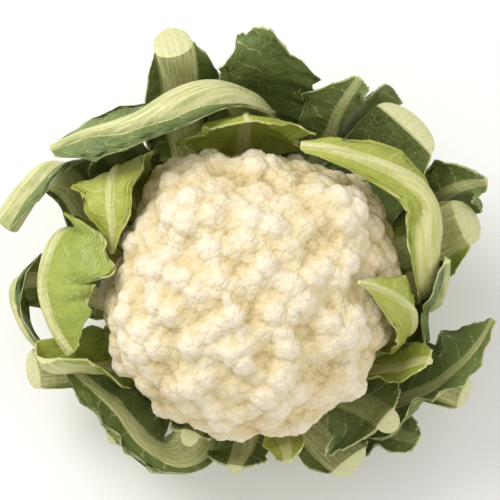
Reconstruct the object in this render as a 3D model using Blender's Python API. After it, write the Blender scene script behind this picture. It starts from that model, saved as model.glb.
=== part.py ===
"""A trimmed cauliflower: a white head of florets on its cut stalk, wrapped in its cut leaves.

Metres, +Z up. The origin is the centre of the stalk's cut face, which the cauliflower stands on.
"""

import math
from typing import NamedTuple

import bmesh
import bpy
import numpy as np

MM = 0.001

# The stalk, cut flat below and meeting the head above
STALK_CUT_RADIUS = 23.0 * MM
STALK_RADIUS = 25.0 * MM
STALK_TOP_RADIUS = 27.0 * MM
STALK_HEIGHT = 55.0 * MM
STALK_SIDES = 28

# The head: a flattened dome about its own centre, made of florets that bulge from it
HEAD_HALF_WIDTH = 79.0 * MM
HEAD_HALF_DEPTH = 77.0 * MM
HEAD_RISE = 56.0 * MM
HEAD_CENTRE_HEIGHT = 90.0 * MM
HEAD_SKIRT_REACH = 50.0 * MM
HEAD_PRESSED_TOWARD = 156.0
HEAD_PRESSED_SPAN = 26.0
HEAD_PRESSED_SHARE = 0.10
HEAD_SWELLS = ((36, 24, 0.14), (126, 15, 0.13))
FLORET_STANDS_OUT = 4.0 * MM
FLORET_CREASE_DEPTH = 5.0 * MM
CURDLET_RADIUS = 8.2 * MM
CURDLET_STANDS_OUT = 0.42
CREASE_SOFTNESS = 0.4 * MM
HEAD_TOP_POINTS = 2100
HEAD_UNDERSIDE_POINTS = 180
FINE_TILT = 103.0

# How the leaves are made and kept apart
BLADE_THICKNESS = 1.2 * MM
FIT_GAP = 0.8 * MM
LEAF_GAP = 1.2 * MM
HEAD_GAP = 1.6 * MM
BLADE_START = 64.0 * MM
BLADE_FULL = 90.0 * MM
HEART_HEIGHT = 78.0 * MM
GOLDEN_ANGLE = math.pi * (3.0 - math.sqrt(5.0))

# The large florets: azimuth and tilt from straight up, in degrees, and radius in millimetres
FLORETS = (
    (70, 31, 24), (129, 47, 22), (36, 62, 24), (8, 51, 18), (152, 24, 17), (180, 50, 17),
    (195, 31, 13), (224, 17, 10), (352, 12, 14), (341, 35, 19), (331, 63, 22), (212, 69, 20),
    (196, 67, 13), (238, 48, 16), (298, 51, 14), (244, 65, 17), (285, 68, 22), (260, 77, 15),
    (314, 78, 16), (302, 35, 14), (85, 68, 18), (255, 30, 11), (206, 49, 13), (265, 46, 12),
    (155, 72, 18), (8, 82, 16), (110, 72, 16),
)
RIM_FLORETS = 13
RIM_TILT = 96.0
RIM_RADIUS = 16.0


class Leaf(NamedTuple):
    """One leaf. Its path's stations are azimuth in degrees, radius and height in mm, stalk first.

    The rib's rows, the widths and the heights aimed at are values in mm, spread evenly from the
    stalk to the leaf's end. Left is the anticlockwise side of a leaf that grows straight out.
    The wave is a height in mm, a count and a phase; the lobes a share of the width, a count and a
    phase; the crown how much shorter the sides are than the rib, and its own ripple and count.
    The belly is how far the rib swells inward too, as a share of its depth outward.
    """

    name: str
    path: tuple
    rib: tuple
    depth: tuple
    left: tuple
    right: tuple
    aim: tuple = (78,)
    fold: tuple = (8, 8)
    roll: tuple = (22, 22)
    wave: tuple = (3.0, 2.5, 0.0)
    lobes: tuple = (0.25, 3.3, 0.0)
    crown: tuple = (0.12, 0.02, 1.5)
    belly: float = 0.1
    tone: str = "outer"


# From the innermost leaf to the outermost, because each one lies outside those before it
LEAVES = (
    Leaf("leaf_inner_back",
         path=((91, 26, 50), (91, 58, 54), (91, 88, 82), (90, 93, 110), (90, 87, 127), (89, 81, 137)),
         rib=(6, 7, 4, 2, 1.5), depth=(4, 5, 4, 2, 1), left=(0, 2, 30, 44, 36), right=(0, 2, 30, 46, 42),
         aim=(78, 68, 28), wave=(3.5, 3.5, 0.1), lobes=(0.3, 3.4, 0.2), tone="inner"),
    Leaf("leaf_inner_left",
         path=((136, 26, 50), (137, 60, 54), (137, 88, 84), (137, 94, 108), (142, 90, 120), (150, 83, 120),
               (158, 76, 115), (166, 72, 107)),
         rib=(6, 7, 5, 4, 3, 2.5, 2, 1.5), depth=(4, 5, 4, 3, 2, 1.5, 1.5, 1),
         left=(0, 1, 6, 14, 24, 26, 20, 10), right=(0, 1, 8, 14, 18, 18, 14, 8),
         aim=(78, 68, 28, -12, -12), fold=(-6, 4), roll=(8, 16), wave=(2, 3, 0), tone="inner"),
    Leaf("leaf_inner_tip",
         path=((346, 26, 50), (346, 60, 54), (347, 87, 82), (350, 89, 102), (352, 82, 119), (354, 66, 133),
               (354, 57, 138)),
         rib=(6, 6, 4, 3, 2, 1), depth=(4, 4, 4, 3, 2, 1), left=(0, 2, 12, 15, 15, 1),
         right=(0, 2, 12, 15, 15, 1), aim=(78, 68, 8), wave=(1.5, 3, 0), tone="inner"),
    Leaf("leaf_inner_right",
         path=((18, 26, 50), (10, 60, 53), (4, 91, 76), (5, 94, 94), (14, 97, 108), (24, 104, 117),
               (33, 99, 125), (45, 87, 133), (56, 79, 137), (67, 73, 138)),
         rib=(6, 8, 8, 8, 10, 11, 7, 4, 3, 2), depth=(4, 5, 7, 8, 9, 9, 5, 3, 2, 1.5),
         left=(0, 1, 1, 2, 3, 6, 13, 16, 14, 8), right=(0, 1, 1, 2, 3, 5, 11, 12, 9, 6),
         aim=(78, 68, 48, 28, -12, -12), fold=(0, 4), roll=(12, 14), wave=(1.4, 4, 0.2), tone="inner"),
    Leaf("leaf_fold_left",
         path=((168, 26, 49), (165, 60, 53), (160, 90, 74), (162, 101, 94), (170, 105, 101), (180, 106, 98),
               (190, 102, 93), (199, 97, 88)),
         rib=(6, 8, 7, 5, 4, 4, 4, 4), depth=(4, 5, 5, 5, 5, 5, 5, 5), left=(0, 1, 3, 4, 5, 5, 5, 4),
         right=(0, 1, 2, 8, 30, 48, 44, 22), aim=(78, 78, 90), fold=(0, 44), roll=(10, 26),
         wave=(2.5, 3, 0), tone="middle"),
    Leaf("leaf_curl_left",
         path=((204, 26, 49), (205, 60, 53), (206, 82, 64), (203, 88, 78), (199, 92, 92)),
         rib=(6, 6, 4, 3, 2), depth=(4, 5, 4, 3, 2), left=(0, 2, 24, 26, 16), right=(0, 2, 28, 34, 22),
         tone="middle"),
    Leaf("leaf_square",
         path=((316, 26, 49), (324, 60, 53), (335, 89, 70), (337, 97, 88), (338, 104, 101)),
         rib=(6, 6, 4, 3, 2), depth=(4, 5, 4, 3, 2), left=(0, 2, 8, 12, 12), right=(0, 2, 8, 11, 11),
         crown=(0.04, 0.02, 2.5), tone="middle"),
    Leaf("leaf_small_bottom",
         path=((285, 26, 48), (285, 56, 52), (285, 76, 62), (285, 84, 72), (284, 92, 76)),
         rib=(6, 5, 4, 3, 2), depth=(4, 5, 4, 3, 2), left=(0, 2, 12, 16, 12), right=(0, 2, 12, 16, 12),
         lobes=(0.3, 3.5, 0.3), tone="middle"),
    Leaf("leaf_ball_left",
         path=((248, 26, 47), (248, 56, 50), (248, 74, 58), (248, 79, 72)),
         rib=(6, 6, 6, 5), depth=(4, 5, 7, 7), left=(0, 3, 14, 16), right=(0, 3, 22, 28), tone="outer"),
    Leaf("leaf_front_band",
         path=((276, 26, 34), (273, 56, 35), (269, 78, 42), (266, 90, 56)),
         rib=(6, 8, 6, 4), depth=(6, 7, 6, 4), left=(0, 3, 26, 32), right=(0, 3, 24, 28), tone="outer"),
    Leaf("leaf_ball_right",
         path=((306, 26, 40), (314, 60, 43), (320, 90, 54), (319, 100, 71)),
         rib=(6, 8, 7, 7), depth=(5, 6, 8, 9), left=(0, 4, 22, 26), right=(0, 4, 40, 52), tone="outer"),
    Leaf("leaf_wavy_right",
         path=((350, 26, 40), (353, 60, 43), (357, 93, 58), (359, 99, 80), (3, 102, 98), (7, 102, 108)),
         rib=(6, 7, 5, 4, 3, 2), depth=(5, 6, 5, 4, 3, 2), left=(0, 3, 20, 26, 24, 16),
         right=(0, 3, 20, 26, 24, 16), wave=(5, 3, 0.1), tone="outer"),
    Leaf("leaf_channel",
         path=((50, 26, 40), (48, 62, 43), (45, 98, 62), (45, 111, 88), (45, 121, 112)),
         rib=(6, 9, 15, 18, 20), depth=(5, 6, 9, 11, 13), left=(0, 4, 14, 10, 2), right=(0, 4, 14, 12, 3),
         fold=(20, 20), roll=(20, 20), belly=-0.1, tone="outer"),
    Leaf("leaf_back_right",
         path=((80, 26, 40), (72, 60, 43), (64, 98, 66), (63, 110, 98), (62, 118, 115), (61, 127, 123)),
         rib=(6, 8, 5, 3.5, 2.5, 2), depth=(5, 6, 5, 3, 2, 2), left=(0, 4, 24, 30, 28, 20),
         right=(0, 4, 18, 22, 20, 16), wave=(4, 2.5, 0.3), lobes=(0.35, 3.4, 0.5), tone="outer"),
    Leaf("leaf_pale_right",
         path=((18, 26, 40), (18, 62, 43), (17, 98, 58), (18, 112, 78), (18, 124, 95)),
         rib=(6, 9, 12, 13, 13), depth=(5, 6, 10, 11, 13), left=(0, 3, 8, 8, 3), right=(0, 3, 16, 20, 9),
         belly=0.25, tone="middle"),
    Leaf("leaf_dark_curl",
         path=((126, 26, 40), (130, 60, 43), (133, 94, 64), (134, 104, 90), (136, 108, 114)),
         rib=(6, 7, 5, 4, 3), depth=(5, 6, 5, 4, 3), left=(0, 3, 20, 28, 26), right=(0, 3, 20, 28, 24),
         wave=(4, 2, 0.2), tone="outer"),
    Leaf("leaf_cut_left",
         path=((152, 26, 34), (151, 62, 37), (149, 102, 56), (147, 118, 84), (150, 123, 101), (156, 128, 98),
               (164, 134, 90)),
         rib=(6, 9, 11, 10, 9, 8, 9), depth=(5, 6, 9, 9, 9, 9, 10), left=(0, 2, 8, 6, 3, 3, 2),
         right=(0, 2, 14, 22, 20, 14, 3), fold=(0, 30), roll=(10, 30), belly=0.4, tone="outer"),
    Leaf("leaf_sweep_left",
         path=((102, 26, 32), (96, 60, 37), (89, 92, 64), (87, 98, 86), (90, 99, 106), (97, 100, 122),
               (106, 99, 132), (117, 97, 135), (128, 101, 133), (137, 113, 128), (145, 127, 117)),
         rib=(6, 10, 12, 12, 12, 12, 12, 10, 6, 3, 2), depth=(5, 6, 8, 9, 9, 9, 9, 8, 5, 3, 2),
         left=(0, 1, 1, 1, 1, 1, 2, 6, 18, 22, 14), right=(0, 1, 1, 1, 1, 2, 3, 8, 20, 24, 14),
         aim=(78, 68, 38, 8, -12), fold=(0, 0), roll=(14, 14), wave=(3, 4, 0), tone="outer"),
    Leaf("leaf_lower_left",
         path=((240, 26, 34), (246, 58, 33), (248, 82, 38), (243, 93, 46), (233, 94, 54), (219, 92, 61),
               (206, 99, 67), (197, 107, 69)),
         rib=(6, 11, 12, 11, 8, 5, 3, 2), depth=(5, 6, 8, 7, 5, 4, 3, 2),
         left=(0, 1, 3, 8, 18, 22, 18, 8), right=(0, 1, 1, 5, 20, 26, 20, 10),
         aim=(78, 80, 110, 140, 150), fold=(0, 0), roll=(12, 12), wave=(2.5, 3.5, 0.4), tone="outer"),
    Leaf("leaf_long_left",
         path=((180, 26, 34), (177, 62, 37), (174, 102, 51), (174, 118, 69), (177, 125, 79), (182, 125, 79),
               (189, 120, 76), (196, 112, 71)),
         rib=(6, 8, 7, 5, 4, 3.5, 3, 2.5), depth=(5, 6, 6, 5, 4, 4, 3, 2), left=(0, 2, 8, 10, 12, 12, 10, 5),
         right=(0, 2, 8, 12, 14, 14, 12, 6), wave=(2.5, 3.5, 0.2), tone="outer"),
    Leaf("leaf_big_back",
         path=((70, 26, 24), (78, 62, 27), (85, 104, 46), (86, 119, 80), (86, 124, 106), (86, 131, 122),
               (87, 138, 130)),
         rib=(6, 9, 6, 4, 3, 2.5, 2), depth=(6, 7, 6, 4, 3, 2, 2), left=(0, 4, 26, 36, 38, 34, 24),
         right=(0, 4, 28, 38, 40, 38, 28), wave=(3, 2.5, 0.1), lobes=(0.2, 3.4, 0.1),
         crown=(0.1, 0.035, 2.0), tone="outer"),
    Leaf("leaf_round_cut",
         path=((112, 26, 24), (111, 62, 27), (109, 102, 48), (108, 120, 82), (107, 128, 106),
               (107, 134, 126)),
         rib=(6, 10, 11, 11, 10.5, 10.5), depth=(6, 7, 10, 11, 12, 13), left=(0, 3, 14, 18, 16, 4),
         right=(0, 3, 16, 20, 18, 4), belly=0.5, tone="outer"),
    Leaf("leaf_lobed_right",
         path=((30, 26, 24), (30, 62, 28), (29, 104, 48), (28, 122, 78), (26, 134, 98), (24, 143, 105)),
         rib=(6, 9, 6, 4, 3, 2.5), depth=(6, 7, 5, 4, 3, 2), left=(0, 4, 20, 28, 30, 24),
         right=(0, 4, 18, 20, 20, 16), wave=(4.5, 2.5, 0.4), lobes=(0.4, 3.4, 0.2), tone="outer"),
    Leaf("leaf_spread_right",
         path=((324, 26, 25), (324, 60, 28), (326, 92, 40), (333, 108, 54), (340, 119, 66), (348, 129, 74),
               (355, 136, 78)),
         rib=(6, 9, 8, 5, 4, 3, 2), depth=(6, 7, 6, 5, 4, 3, 2), left=(0, 3, 16, 30, 38, 36, 24),
         right=(0, 3, 14, 22, 26, 26, 18), aim=(78, 80, 110, 130), wave=(4, 2.5, 0), lobes=(0.35, 3.4, 0.4),
         tone="outer"),
    Leaf("leaf_stub_left",
         path=((196, 26, 25), (197, 62, 27), (198, 98, 40), (197, 123, 58)),
         rib=(6, 10, 10.5, 11), depth=(6, 7, 9, 10), left=(0, 2, 4, 2), right=(0, 2, 5, 2), belly=0.3,
         tone="outer"),
    Leaf("leaf_stub_right",
         path=((353, 26, 24), (347, 62, 24), (341, 100, 30), (339, 132, 43)),
         rib=(6, 9, 9, 9), depth=(6, 7, 9, 10), left=(0, 2, 6, 3), right=(0, 2, 6, 3), belly=0.4,
         tone="outer"),
    Leaf("leaf_stub_front",
         path=((295, 26, 25), (297, 58, 25), (302, 84, 32), (304, 103, 44)),
         rib=(6, 10, 12, 12), depth=(6, 7, 9, 10), left=(0, 2, 12, 8), right=(0, 2, 12, 8), belly=0.2,
         tone="outer"),
    Leaf("leaf_dark_right",
         path=((311, 26, 16), (312, 60, 18), (318, 94, 27), (323, 122, 38)),
         rib=(6, 7, 5, 3), depth=(5, 6, 5, 3), left=(0, 3, 18, 18), right=(0, 3, 14, 16), aim=(78, 90, 110),
         wave=(3.5, 2, 0.1), tone="outer"),
    Leaf("leaf_dark_left",
         path=((224, 26, 24), (225, 60, 24), (225, 92, 32), (224, 105, 43)),
         rib=(6, 7, 5, 3), depth=(6, 6, 5, 3), left=(0, 3, 20, 20), right=(0, 3, 20, 20),
         wave=(3.5, 2, 0.3), tone="outer"),
)
TONES = {
    "inner": ((0.42, 0.50, 0.12, 1.0), 0.5),
    "middle": ((0.24, 0.36, 0.07, 1.0), 0.5),
    "outer": ((0.10, 0.18, 0.05, 1.0), 0.45),
}

# The grid on which each leaf is worked out, and the rows and columns kept for its solid
FINE_ROWS = 65
WING_CELLS = 18
RIB_CELLS = 12
KEPT_ROW_LENGTH = 16.0 * MM
KEPT_ROWS_LEAST = 6
KEPT_ROWS_MOST = 14
KEPT_WING_CELLS = (0, 6, 12, 18)
KEPT_NARROW_CELLS = (0, 18)
KEPT_RIB_CELLS = (2, 6, 10)
NARROW_WING = 9.0
RIB_BLEND = 8.0 * MM

# The directions in which the reach of the pieces is recorded
TILT_CELLS = 150
AZIMUTH_CELLS = 300
SPREAD_CELLS = 2
PUSH_SOFTNESS = 1.0 * MM
SETTLE_TURNS = 25


def clear_scene():
    for old in list(bpy.data.objects):
        bpy.data.objects.remove(old)


def unit(vectors):
    return vectors / np.maximum(np.linalg.norm(vectors, axis=-1, keepdims=True), 1e-12)


def direction(azimuth, tilt):
    """The unit vector at an azimuth and a tilt from straight up, both in degrees."""
    a, t = math.radians(azimuth), math.radians(tilt)
    return np.array([math.sin(t) * math.cos(a), math.sin(t) * math.sin(a), math.cos(t)])


def dome_reach(ways):
    """How far the plain dome reaches from the head's centre, in each direction."""
    upper = 1.0 / np.sqrt(
        (ways[:, 0] / HEAD_HALF_WIDTH) ** 2
        + (ways[:, 1] / HEAD_HALF_DEPTH) ** 2
        + (ways[:, 2] / HEAD_RISE) ** 2
    )
    down = np.clip(-ways[:, 2], 0.0, 1.0)
    skirt = HEAD_HALF_WIDTH * (1.0 - down) ** 0.8 + HEAD_SKIRT_REACH * down
    turn = np.degrees(np.arctan2(ways[:, 1], ways[:, 0])) % 360.0 - HEAD_PRESSED_TOWARD
    level = np.hypot(ways[:, 0], ways[:, 1])
    pressed = HEAD_PRESSED_SHARE * np.exp(-((turn / HEAD_PRESSED_SPAN) ** 2)) * level
    swollen = 1.0
    for toward, span, share in HEAD_SWELLS:
        off = np.degrees(np.arctan2(ways[:, 1], ways[:, 0])) - toward
        swollen = swollen + share * np.exp(-((off / span) ** 2)) * level
    return np.where(ways[:, 2] >= 0.0, upper, skirt) * (1.0 - pressed) * swollen


def curdlets():
    """Centres and radii of the small rounded florets that cover the large ones, in turns of a spiral."""
    large = list(FLORETS)
    for i in range(RIM_FLORETS):
        large.append((360.0 * (i + 0.5) / RIM_FLORETS, RIM_TILT + 4.0 * math.sin(5.0 * i), RIM_RADIUS))
    centres, radii = [], []
    for azimuth, tilt, size in large:
        radius = size * MM
        way = direction(azimuth, tilt)
        reach = float(dome_reach(way[None])[0]) + FLORET_STANDS_OUT - radius
        middle = way * reach
        side = unit(np.cross(way, (0.31, 0.17, 0.93)))
        across = np.cross(way, side)
        count = max(5, round(1.55 * (radius / CURDLET_RADIUS) ** 2 * 1.3))
        for k in range(count):
            lean = math.acos(1.0 - 0.92 * (k + 0.5) / count)
            turn = k * GOLDEN_ANGLE + azimuth
            out = (
                way * math.cos(lean)
                + (side * math.cos(turn) + across * math.sin(turn)) * math.sin(lean)
            )
            small = CURDLET_RADIUS * (0.84 + 0.22 * k / count) * (0.82 + radius / (0.11))
            centres.append(middle + out * (radius - small * (1.0 - CURDLET_STANDS_OUT)))
            radii.append(small)
    return np.array(centres), np.array(radii)


def head_reach(ways, centres, radii):
    """How far the head reaches from its centre, in each direction: its florets' outline, softly joined."""
    along = ways @ centres.T
    inside = along**2 - (centres**2).sum(1)[None] + (radii**2)[None]
    hit = np.where((inside > 0.0) & (along > 0.0), along + np.sqrt(np.maximum(inside, 0.0)), 0.0)
    core = dome_reach(ways) - FLORET_CREASE_DEPTH
    best = np.maximum(hit.max(1), core)
    total = np.exp((hit - best[:, None]) / CREASE_SOFTNESS).sum(1) + np.exp((core - best) / CREASE_SOFTNESS)
    reach = best + CREASE_SOFTNESS * np.log(total)
    floor = HEAD_CENTRE_HEIGHT - STALK_HEIGHT - 0.4 * MM
    under = ways[:, 2] < -0.05
    level = np.where(under, floor / np.maximum(-ways[:, 2], 0.05), reach)
    return np.where(under, np.minimum(reach, level), reach)


def spiral_ways(count, first, last):
    """Directions spread evenly by the golden angle between two tilts, in degrees."""
    k = np.arange(count) + 0.5
    z = np.interp(k / count, (0.0, 1.0), np.cos(np.radians((first, last))))
    flat = np.sqrt(1.0 - z**2)
    turn = k * GOLDEN_ANGLE
    return np.stack([flat * np.cos(turn), flat * np.sin(turn), z], 1)


def add_object(name, mesh, colour, roughness):
    material = bpy.data.materials.new(name)
    material.use_nodes = True
    shader = material.node_tree.nodes["Principled BSDF"]
    shader.inputs["Base Color"].default_value = colour
    shader.inputs["Roughness"].default_value = roughness
    mesh.materials.append(material)
    mesh.shade_smooth()
    obj = bpy.data.objects.new(name, mesh)
    bpy.context.scene.collection.objects.link(obj)
    return obj


def make_head(centres, radii):
    ways = np.concatenate(
        [
            spiral_ways(HEAD_TOP_POINTS, 0.0, FINE_TILT),
            spiral_ways(HEAD_UNDERSIDE_POINTS, FINE_TILT, 180.0),
        ]
    )
    reach = head_reach(ways, centres, radii)
    hull = bmesh.new()
    for way in ways:
        hull.verts.new(way)
    bmesh.ops.convex_hull(hull, input=hull.verts)
    hull.verts.index_update()
    hull.verts.ensure_lookup_table()
    for vertex, way, far in zip(hull.verts, ways, reach):
        vertex.co = way * far
        vertex.co.z += HEAD_CENTRE_HEIGHT
    bmesh.ops.recalc_face_normals(hull, faces=hull.faces)
    mesh = bpy.data.meshes.new("curd")
    hull.to_mesh(mesh)
    hull.free()
    return add_object("curd", mesh, (0.80, 0.74, 0.56, 1.0), 0.6)


def stalk_radius(height):
    """The stalk's radius at a height: a bevelled cut below, a slow flare above."""
    heights = (0.0, 2.5 * MM, 20.0 * MM, STALK_HEIGHT)
    return np.interp(height, heights, (STALK_CUT_RADIUS, STALK_RADIUS, STALK_RADIUS, STALK_TOP_RADIUS))


def make_stalk():
    mesh = bpy.data.meshes.new("stalk")
    body = bmesh.new()
    rings = []
    for height in (0.0, 2.5 * MM, 20.0 * MM, STALK_HEIGHT):
        ring = []
        for k in range(STALK_SIDES):
            turn = 2.0 * math.pi * k / STALK_SIDES
            radius = float(stalk_radius(height))
            ring.append(body.verts.new((radius * math.cos(turn), radius * math.sin(turn), height)))
        rings.append(ring)
    for low, high in zip(rings, rings[1:]):
        for k in range(STALK_SIDES):
            n = (k + 1) % STALK_SIDES
            body.faces.new((low[k], low[n], high[n], high[k]))
    body.faces.new(rings[0][::-1])
    body.faces.new(rings[-1])
    body.to_mesh(mesh)
    body.free()
    return add_object("stalk", mesh, (0.62, 0.66, 0.40, 1.0), 0.55)


class Reach:
    """How far out the pieces made so far come, in each direction from the heart of the plant."""

    def __init__(self):
        self.map = np.zeros((TILT_CELLS, AZIMUTH_CELLS))

    @staticmethod
    def polar(points):
        away = points - np.array([0.0, 0.0, HEART_HEIGHT])
        far = np.linalg.norm(away, axis=-1)
        tilt = np.arccos(np.clip(away[..., 2] / np.maximum(far, 1e-9), -1.0, 1.0)) / math.pi * TILT_CELLS
        turn = np.arctan2(away[..., 1], away[..., 0]) / (2.0 * math.pi) % 1.0 * AZIMUTH_CELLS
        return away, far, tilt, turn

    def add(self, points):
        _, far, tilt, turn = self.polar(points)
        rows = np.clip(tilt.astype(int), 0, TILT_CELLS - 1)
        columns = turn.astype(int) % AZIMUTH_CELLS
        np.maximum.at(self.map, (rows.ravel(), columns.ravel()), far.ravel())

    def spread(self):
        """The map with each high place widened, then softened, so that nothing slips past its edge."""
        wide = self.map.copy()
        for _ in range(SPREAD_CELLS):
            sides = np.maximum(np.roll(wide, 1, 1), np.roll(wide, -1, 1))
            wide = np.maximum(wide, sides)
            ends = np.pad(wide, ((1, 1), (0, 0)), mode="edge")
            wide = np.maximum(wide, np.maximum(ends[:-2], ends[2:]))
        for _ in range(SPREAD_CELLS):
            wide = (np.roll(wide, 1, 1) + wide + np.roll(wide, -1, 1)) / 3.0
            ends = np.pad(wide, ((1, 1), (0, 0)), mode="edge")
            wide = (ends[:-2] + wide + ends[2:]) / 3.0
        return wide

    def least(self, tilt, turn, gap):
        """How far out a point has to be, at least, to clear every piece made so far."""
        wide = self.spread()
        t = np.clip(tilt - 0.5, 0.0, TILT_CELLS - 1.001)
        a = (turn - 0.5) % AZIMUTH_CELLS
        i, j = t.astype(int), a.astype(int) % AZIMUTH_CELLS
        ft, fa = t - i, a - np.floor(a)
        k = (j + 1) % AZIMUTH_CELLS
        low = wide[i, j] * (1 - fa) + wide[i, k] * fa
        high = wide[i + 1, j] * (1 - fa) + wide[i + 1, k] * fa
        least = low * (1 - ft) + high * ft
        return np.where(least > 0.0, least + gap, 0.0)

    def shortfall(self, points, gap):
        _, far, tilt, turn = self.polar(points)
        return np.maximum(self.least(tilt, turn, gap) - far, 0.0)

    def push_out(self, points, gap):
        """The points, moved out from the heart to where they clear every piece made so far."""
        away, far, tilt, turn = self.polar(points)
        least = self.least(tilt, turn, gap)
        over = (far - least) / PUSH_SOFTNESS
        moved = least + PUSH_SOFTNESS * np.where(over > 30.0, over, np.log1p(np.exp(np.minimum(over, 30.0))))
        return away * (moved / far)[..., None] + np.array([0.0, 0.0, HEART_HEIGHT])


def along(values, u):
    """Values spread evenly from 0 to 1, joined smoothly, at each u."""
    values = np.atleast_1d(np.asarray(values, float))
    if len(values) == 1:
        return np.full(len(u), values[0])
    x = u * (len(values) - 1)
    i = np.clip(np.floor(x).astype(int), 0, len(values) - 2)
    t = x - i
    t = t * t * (3.0 - 2.0 * t)
    return values[i] * (1.0 - t) + values[i + 1] * t


def rib_line(path, rows):
    """Points and directions at even steps along a smooth curve through the path's stations."""
    stations = np.array(path, float)
    turns = np.radians(stations[:, 0])
    points = np.stack(
        [stations[:, 1] * np.cos(turns), stations[:, 1] * np.sin(turns), stations[:, 2]], 1
    ) * MM
    ends = np.concatenate([[2 * points[0] - points[1]], points, [2 * points[-1] - points[-2]]])
    pieces = []
    t = np.linspace(0.0, 1.0, 40, endpoint=False)[:, None]
    for a, b, c, d in zip(ends, ends[1:], ends[2:], ends[3:]):
        pieces.append(
            0.5 * (2 * b + (c - a) * t + (2 * a - 5 * b + 4 * c - d) * t**2 + (3 * b - a - 3 * c + d) * t**3)
        )
    curve = np.concatenate([*pieces, points[-1:]])
    length = np.concatenate([[0.0], np.cumsum(np.linalg.norm(np.diff(curve, axis=0), axis=1))])
    steps = np.linspace(0.0, length[-1], rows)
    line = np.stack([np.interp(steps, length, curve[:, k]) for k in range(3)], 1)
    return line, unit(np.gradient(line, axis=0)), length[-1]


def leaf_sheet(leaf, reach):
    """The leaf as a sheet, a grid of points, and how far the rib bulges from it at each one."""
    u = np.linspace(0.0, 1.0, FINE_ROWS)
    line, ahead, _ = rib_line(leaf.path, FINE_ROWS)
    aim = np.zeros_like(line)
    aim[:, 2] = along(leaf.aim, u) * MM
    inward = aim - line
    inward = unit(inward - (inward * ahead).sum(1, keepdims=True) * ahead)
    across = np.cross(inward, ahead)
    rib = along(leaf.rib, u) * MM
    depth = along(leaf.depth, u) * MM
    out = np.maximum.accumulate(np.hypot(line[:, 0], line[:, 1]))
    opened = np.clip((out - BLADE_START) / (BLADE_FULL - BLADE_START), 0.0, 1.0)
    wings = []
    for side, widths, fold, roll in (
        (-1, leaf.right, leaf.fold[1], leaf.roll[1]),
        (1, leaf.left, leaf.fold[0], leaf.roll[0]),
    ):
        wings.append(wing_columns(leaf, side, u, (line, inward, across, rib, opened), (widths, fold, roll)))
    middle, stands = [], []
    for k in range(1, RIB_CELLS):
        place = -math.cos(math.pi * k / RIB_CELLS)
        middle.append(line + across * (place * rib)[:, None])
        stands.append(depth * math.sqrt(1.0 - place**2))
    grid = np.stack([*wings[0][::-1], *middle, *wings[1]], 1)
    flat = np.zeros((FINE_ROWS, WING_CELLS + 1))
    bulge = np.concatenate([flat, np.array(stands).T, flat], 1)
    return reach.push_out(grid, LEAF_GAP + max(leaf.belly, 0.0) * bulge), bulge


def wing_columns(leaf, side, u, frame, shape):
    """The columns of one wing, from the rib to the margin, with its fold, roll, waves and lobes."""
    line, inward, across, rib, opened = frame
    widths, fold, roll = shape
    width = np.maximum(along(widths, u) * opened * MM, 0.8 * MM)
    share, count, phase = leaf.lobes
    broad = np.clip(width / (16.0 * MM) - 0.3, 0.0, 1.0)
    width = width * (1.0 - share * broad * (0.5 + 0.5 * np.sin(math.tau * (count * u + phase + 0.31 * side))))
    height, count, phase = leaf.wave
    start, turn = math.radians(fold), math.radians(roll) + 1e-6
    edge = rib[:, None] * across * side + line
    columns = []
    for q in np.linspace(0.0, 1.0, WING_CELLS + 1):
        lean = start + turn * q
        out = width / turn * (math.sin(lean) - math.sin(start))
        up = width / turn * (math.cos(start) - math.cos(lean))
        swing = np.sin(math.tau * (count * u + phase + 0.37 * side))
        ripple = height * MM * q**1.6 * np.minimum(1.0, width / (12.0 * MM)) * swing
        normal = inward * math.cos(lean) - across * side * math.sin(lean)
        column = edge + across * (side * out)[:, None] + inward * up[:, None] + normal * ripple[:, None]
        less, wobble, turns = leaf.crown
        end = 1.0 - less * q**2 + wobble * q * math.sin(math.tau * turns * q + 2.0 * side)
        at = u * end
        columns.append(np.stack([np.interp(at, u, column[:, k]) for k in range(3)], 1))
    return columns


def off_stalk(points):
    """The points, kept clear of the stalk's side."""
    out = np.hypot(points[..., 0], points[..., 1])
    least = stalk_radius(points[..., 2]) + FIT_GAP
    beside = points[..., 2] < STALK_HEIGHT + FIT_GAP
    grow = np.where(beside, np.maximum(1.0, least / np.maximum(out, 1e-9)), 1.0)
    return points * np.stack([grow, grow, np.ones_like(grow)], -1)


def face_corners(rows, columns):
    """The corners of the two triangles of every cell of a grid, all split the same way."""
    i, j = np.meshgrid(np.arange(rows - 1), np.arange(columns - 1), indexing="ij")
    a = (i * columns + j).ravel()
    b, c, d = a + 1, a + columns, a + columns + 1
    return np.concatenate([np.stack([a, d, c], 1), np.stack([a, b, d], 1)])


def face_weights(steps):
    """Weights of a triangle's three corners at points spread over it."""
    return np.array(
        [(p, q, steps - p - q) for p in range(steps + 1) for q in range(steps + 1 - p)], float
    ) / steps


def settle(front, reach):
    """The kept corners, moved out until the flat faces between them clear every piece inside."""
    rows, columns = front.shape[:2]
    points = front.reshape(-1, 3).copy()
    corners = face_corners(rows, columns)
    weights = face_weights(6)
    heart = np.array([0.0, 0.0, HEART_HEIGHT])
    for _ in range(SETTLE_TURNS):
        spots = np.einsum("sk,fkx->fsx", weights, points[corners])
        short = reach.shortfall(spots, LEAF_GAP * 0.75)
        if short.max() < 0.02 * MM:
            break
        share = weights / (weights**2).sum(1, keepdims=True)
        push = np.zeros(len(points))
        np.maximum.at(push, corners[:, None, :].repeat(len(weights), 1), short[..., None] * share[None])
        points += unit(points - heart) * push[:, None]
    return off_stalk(points.reshape(front.shape))


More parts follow.
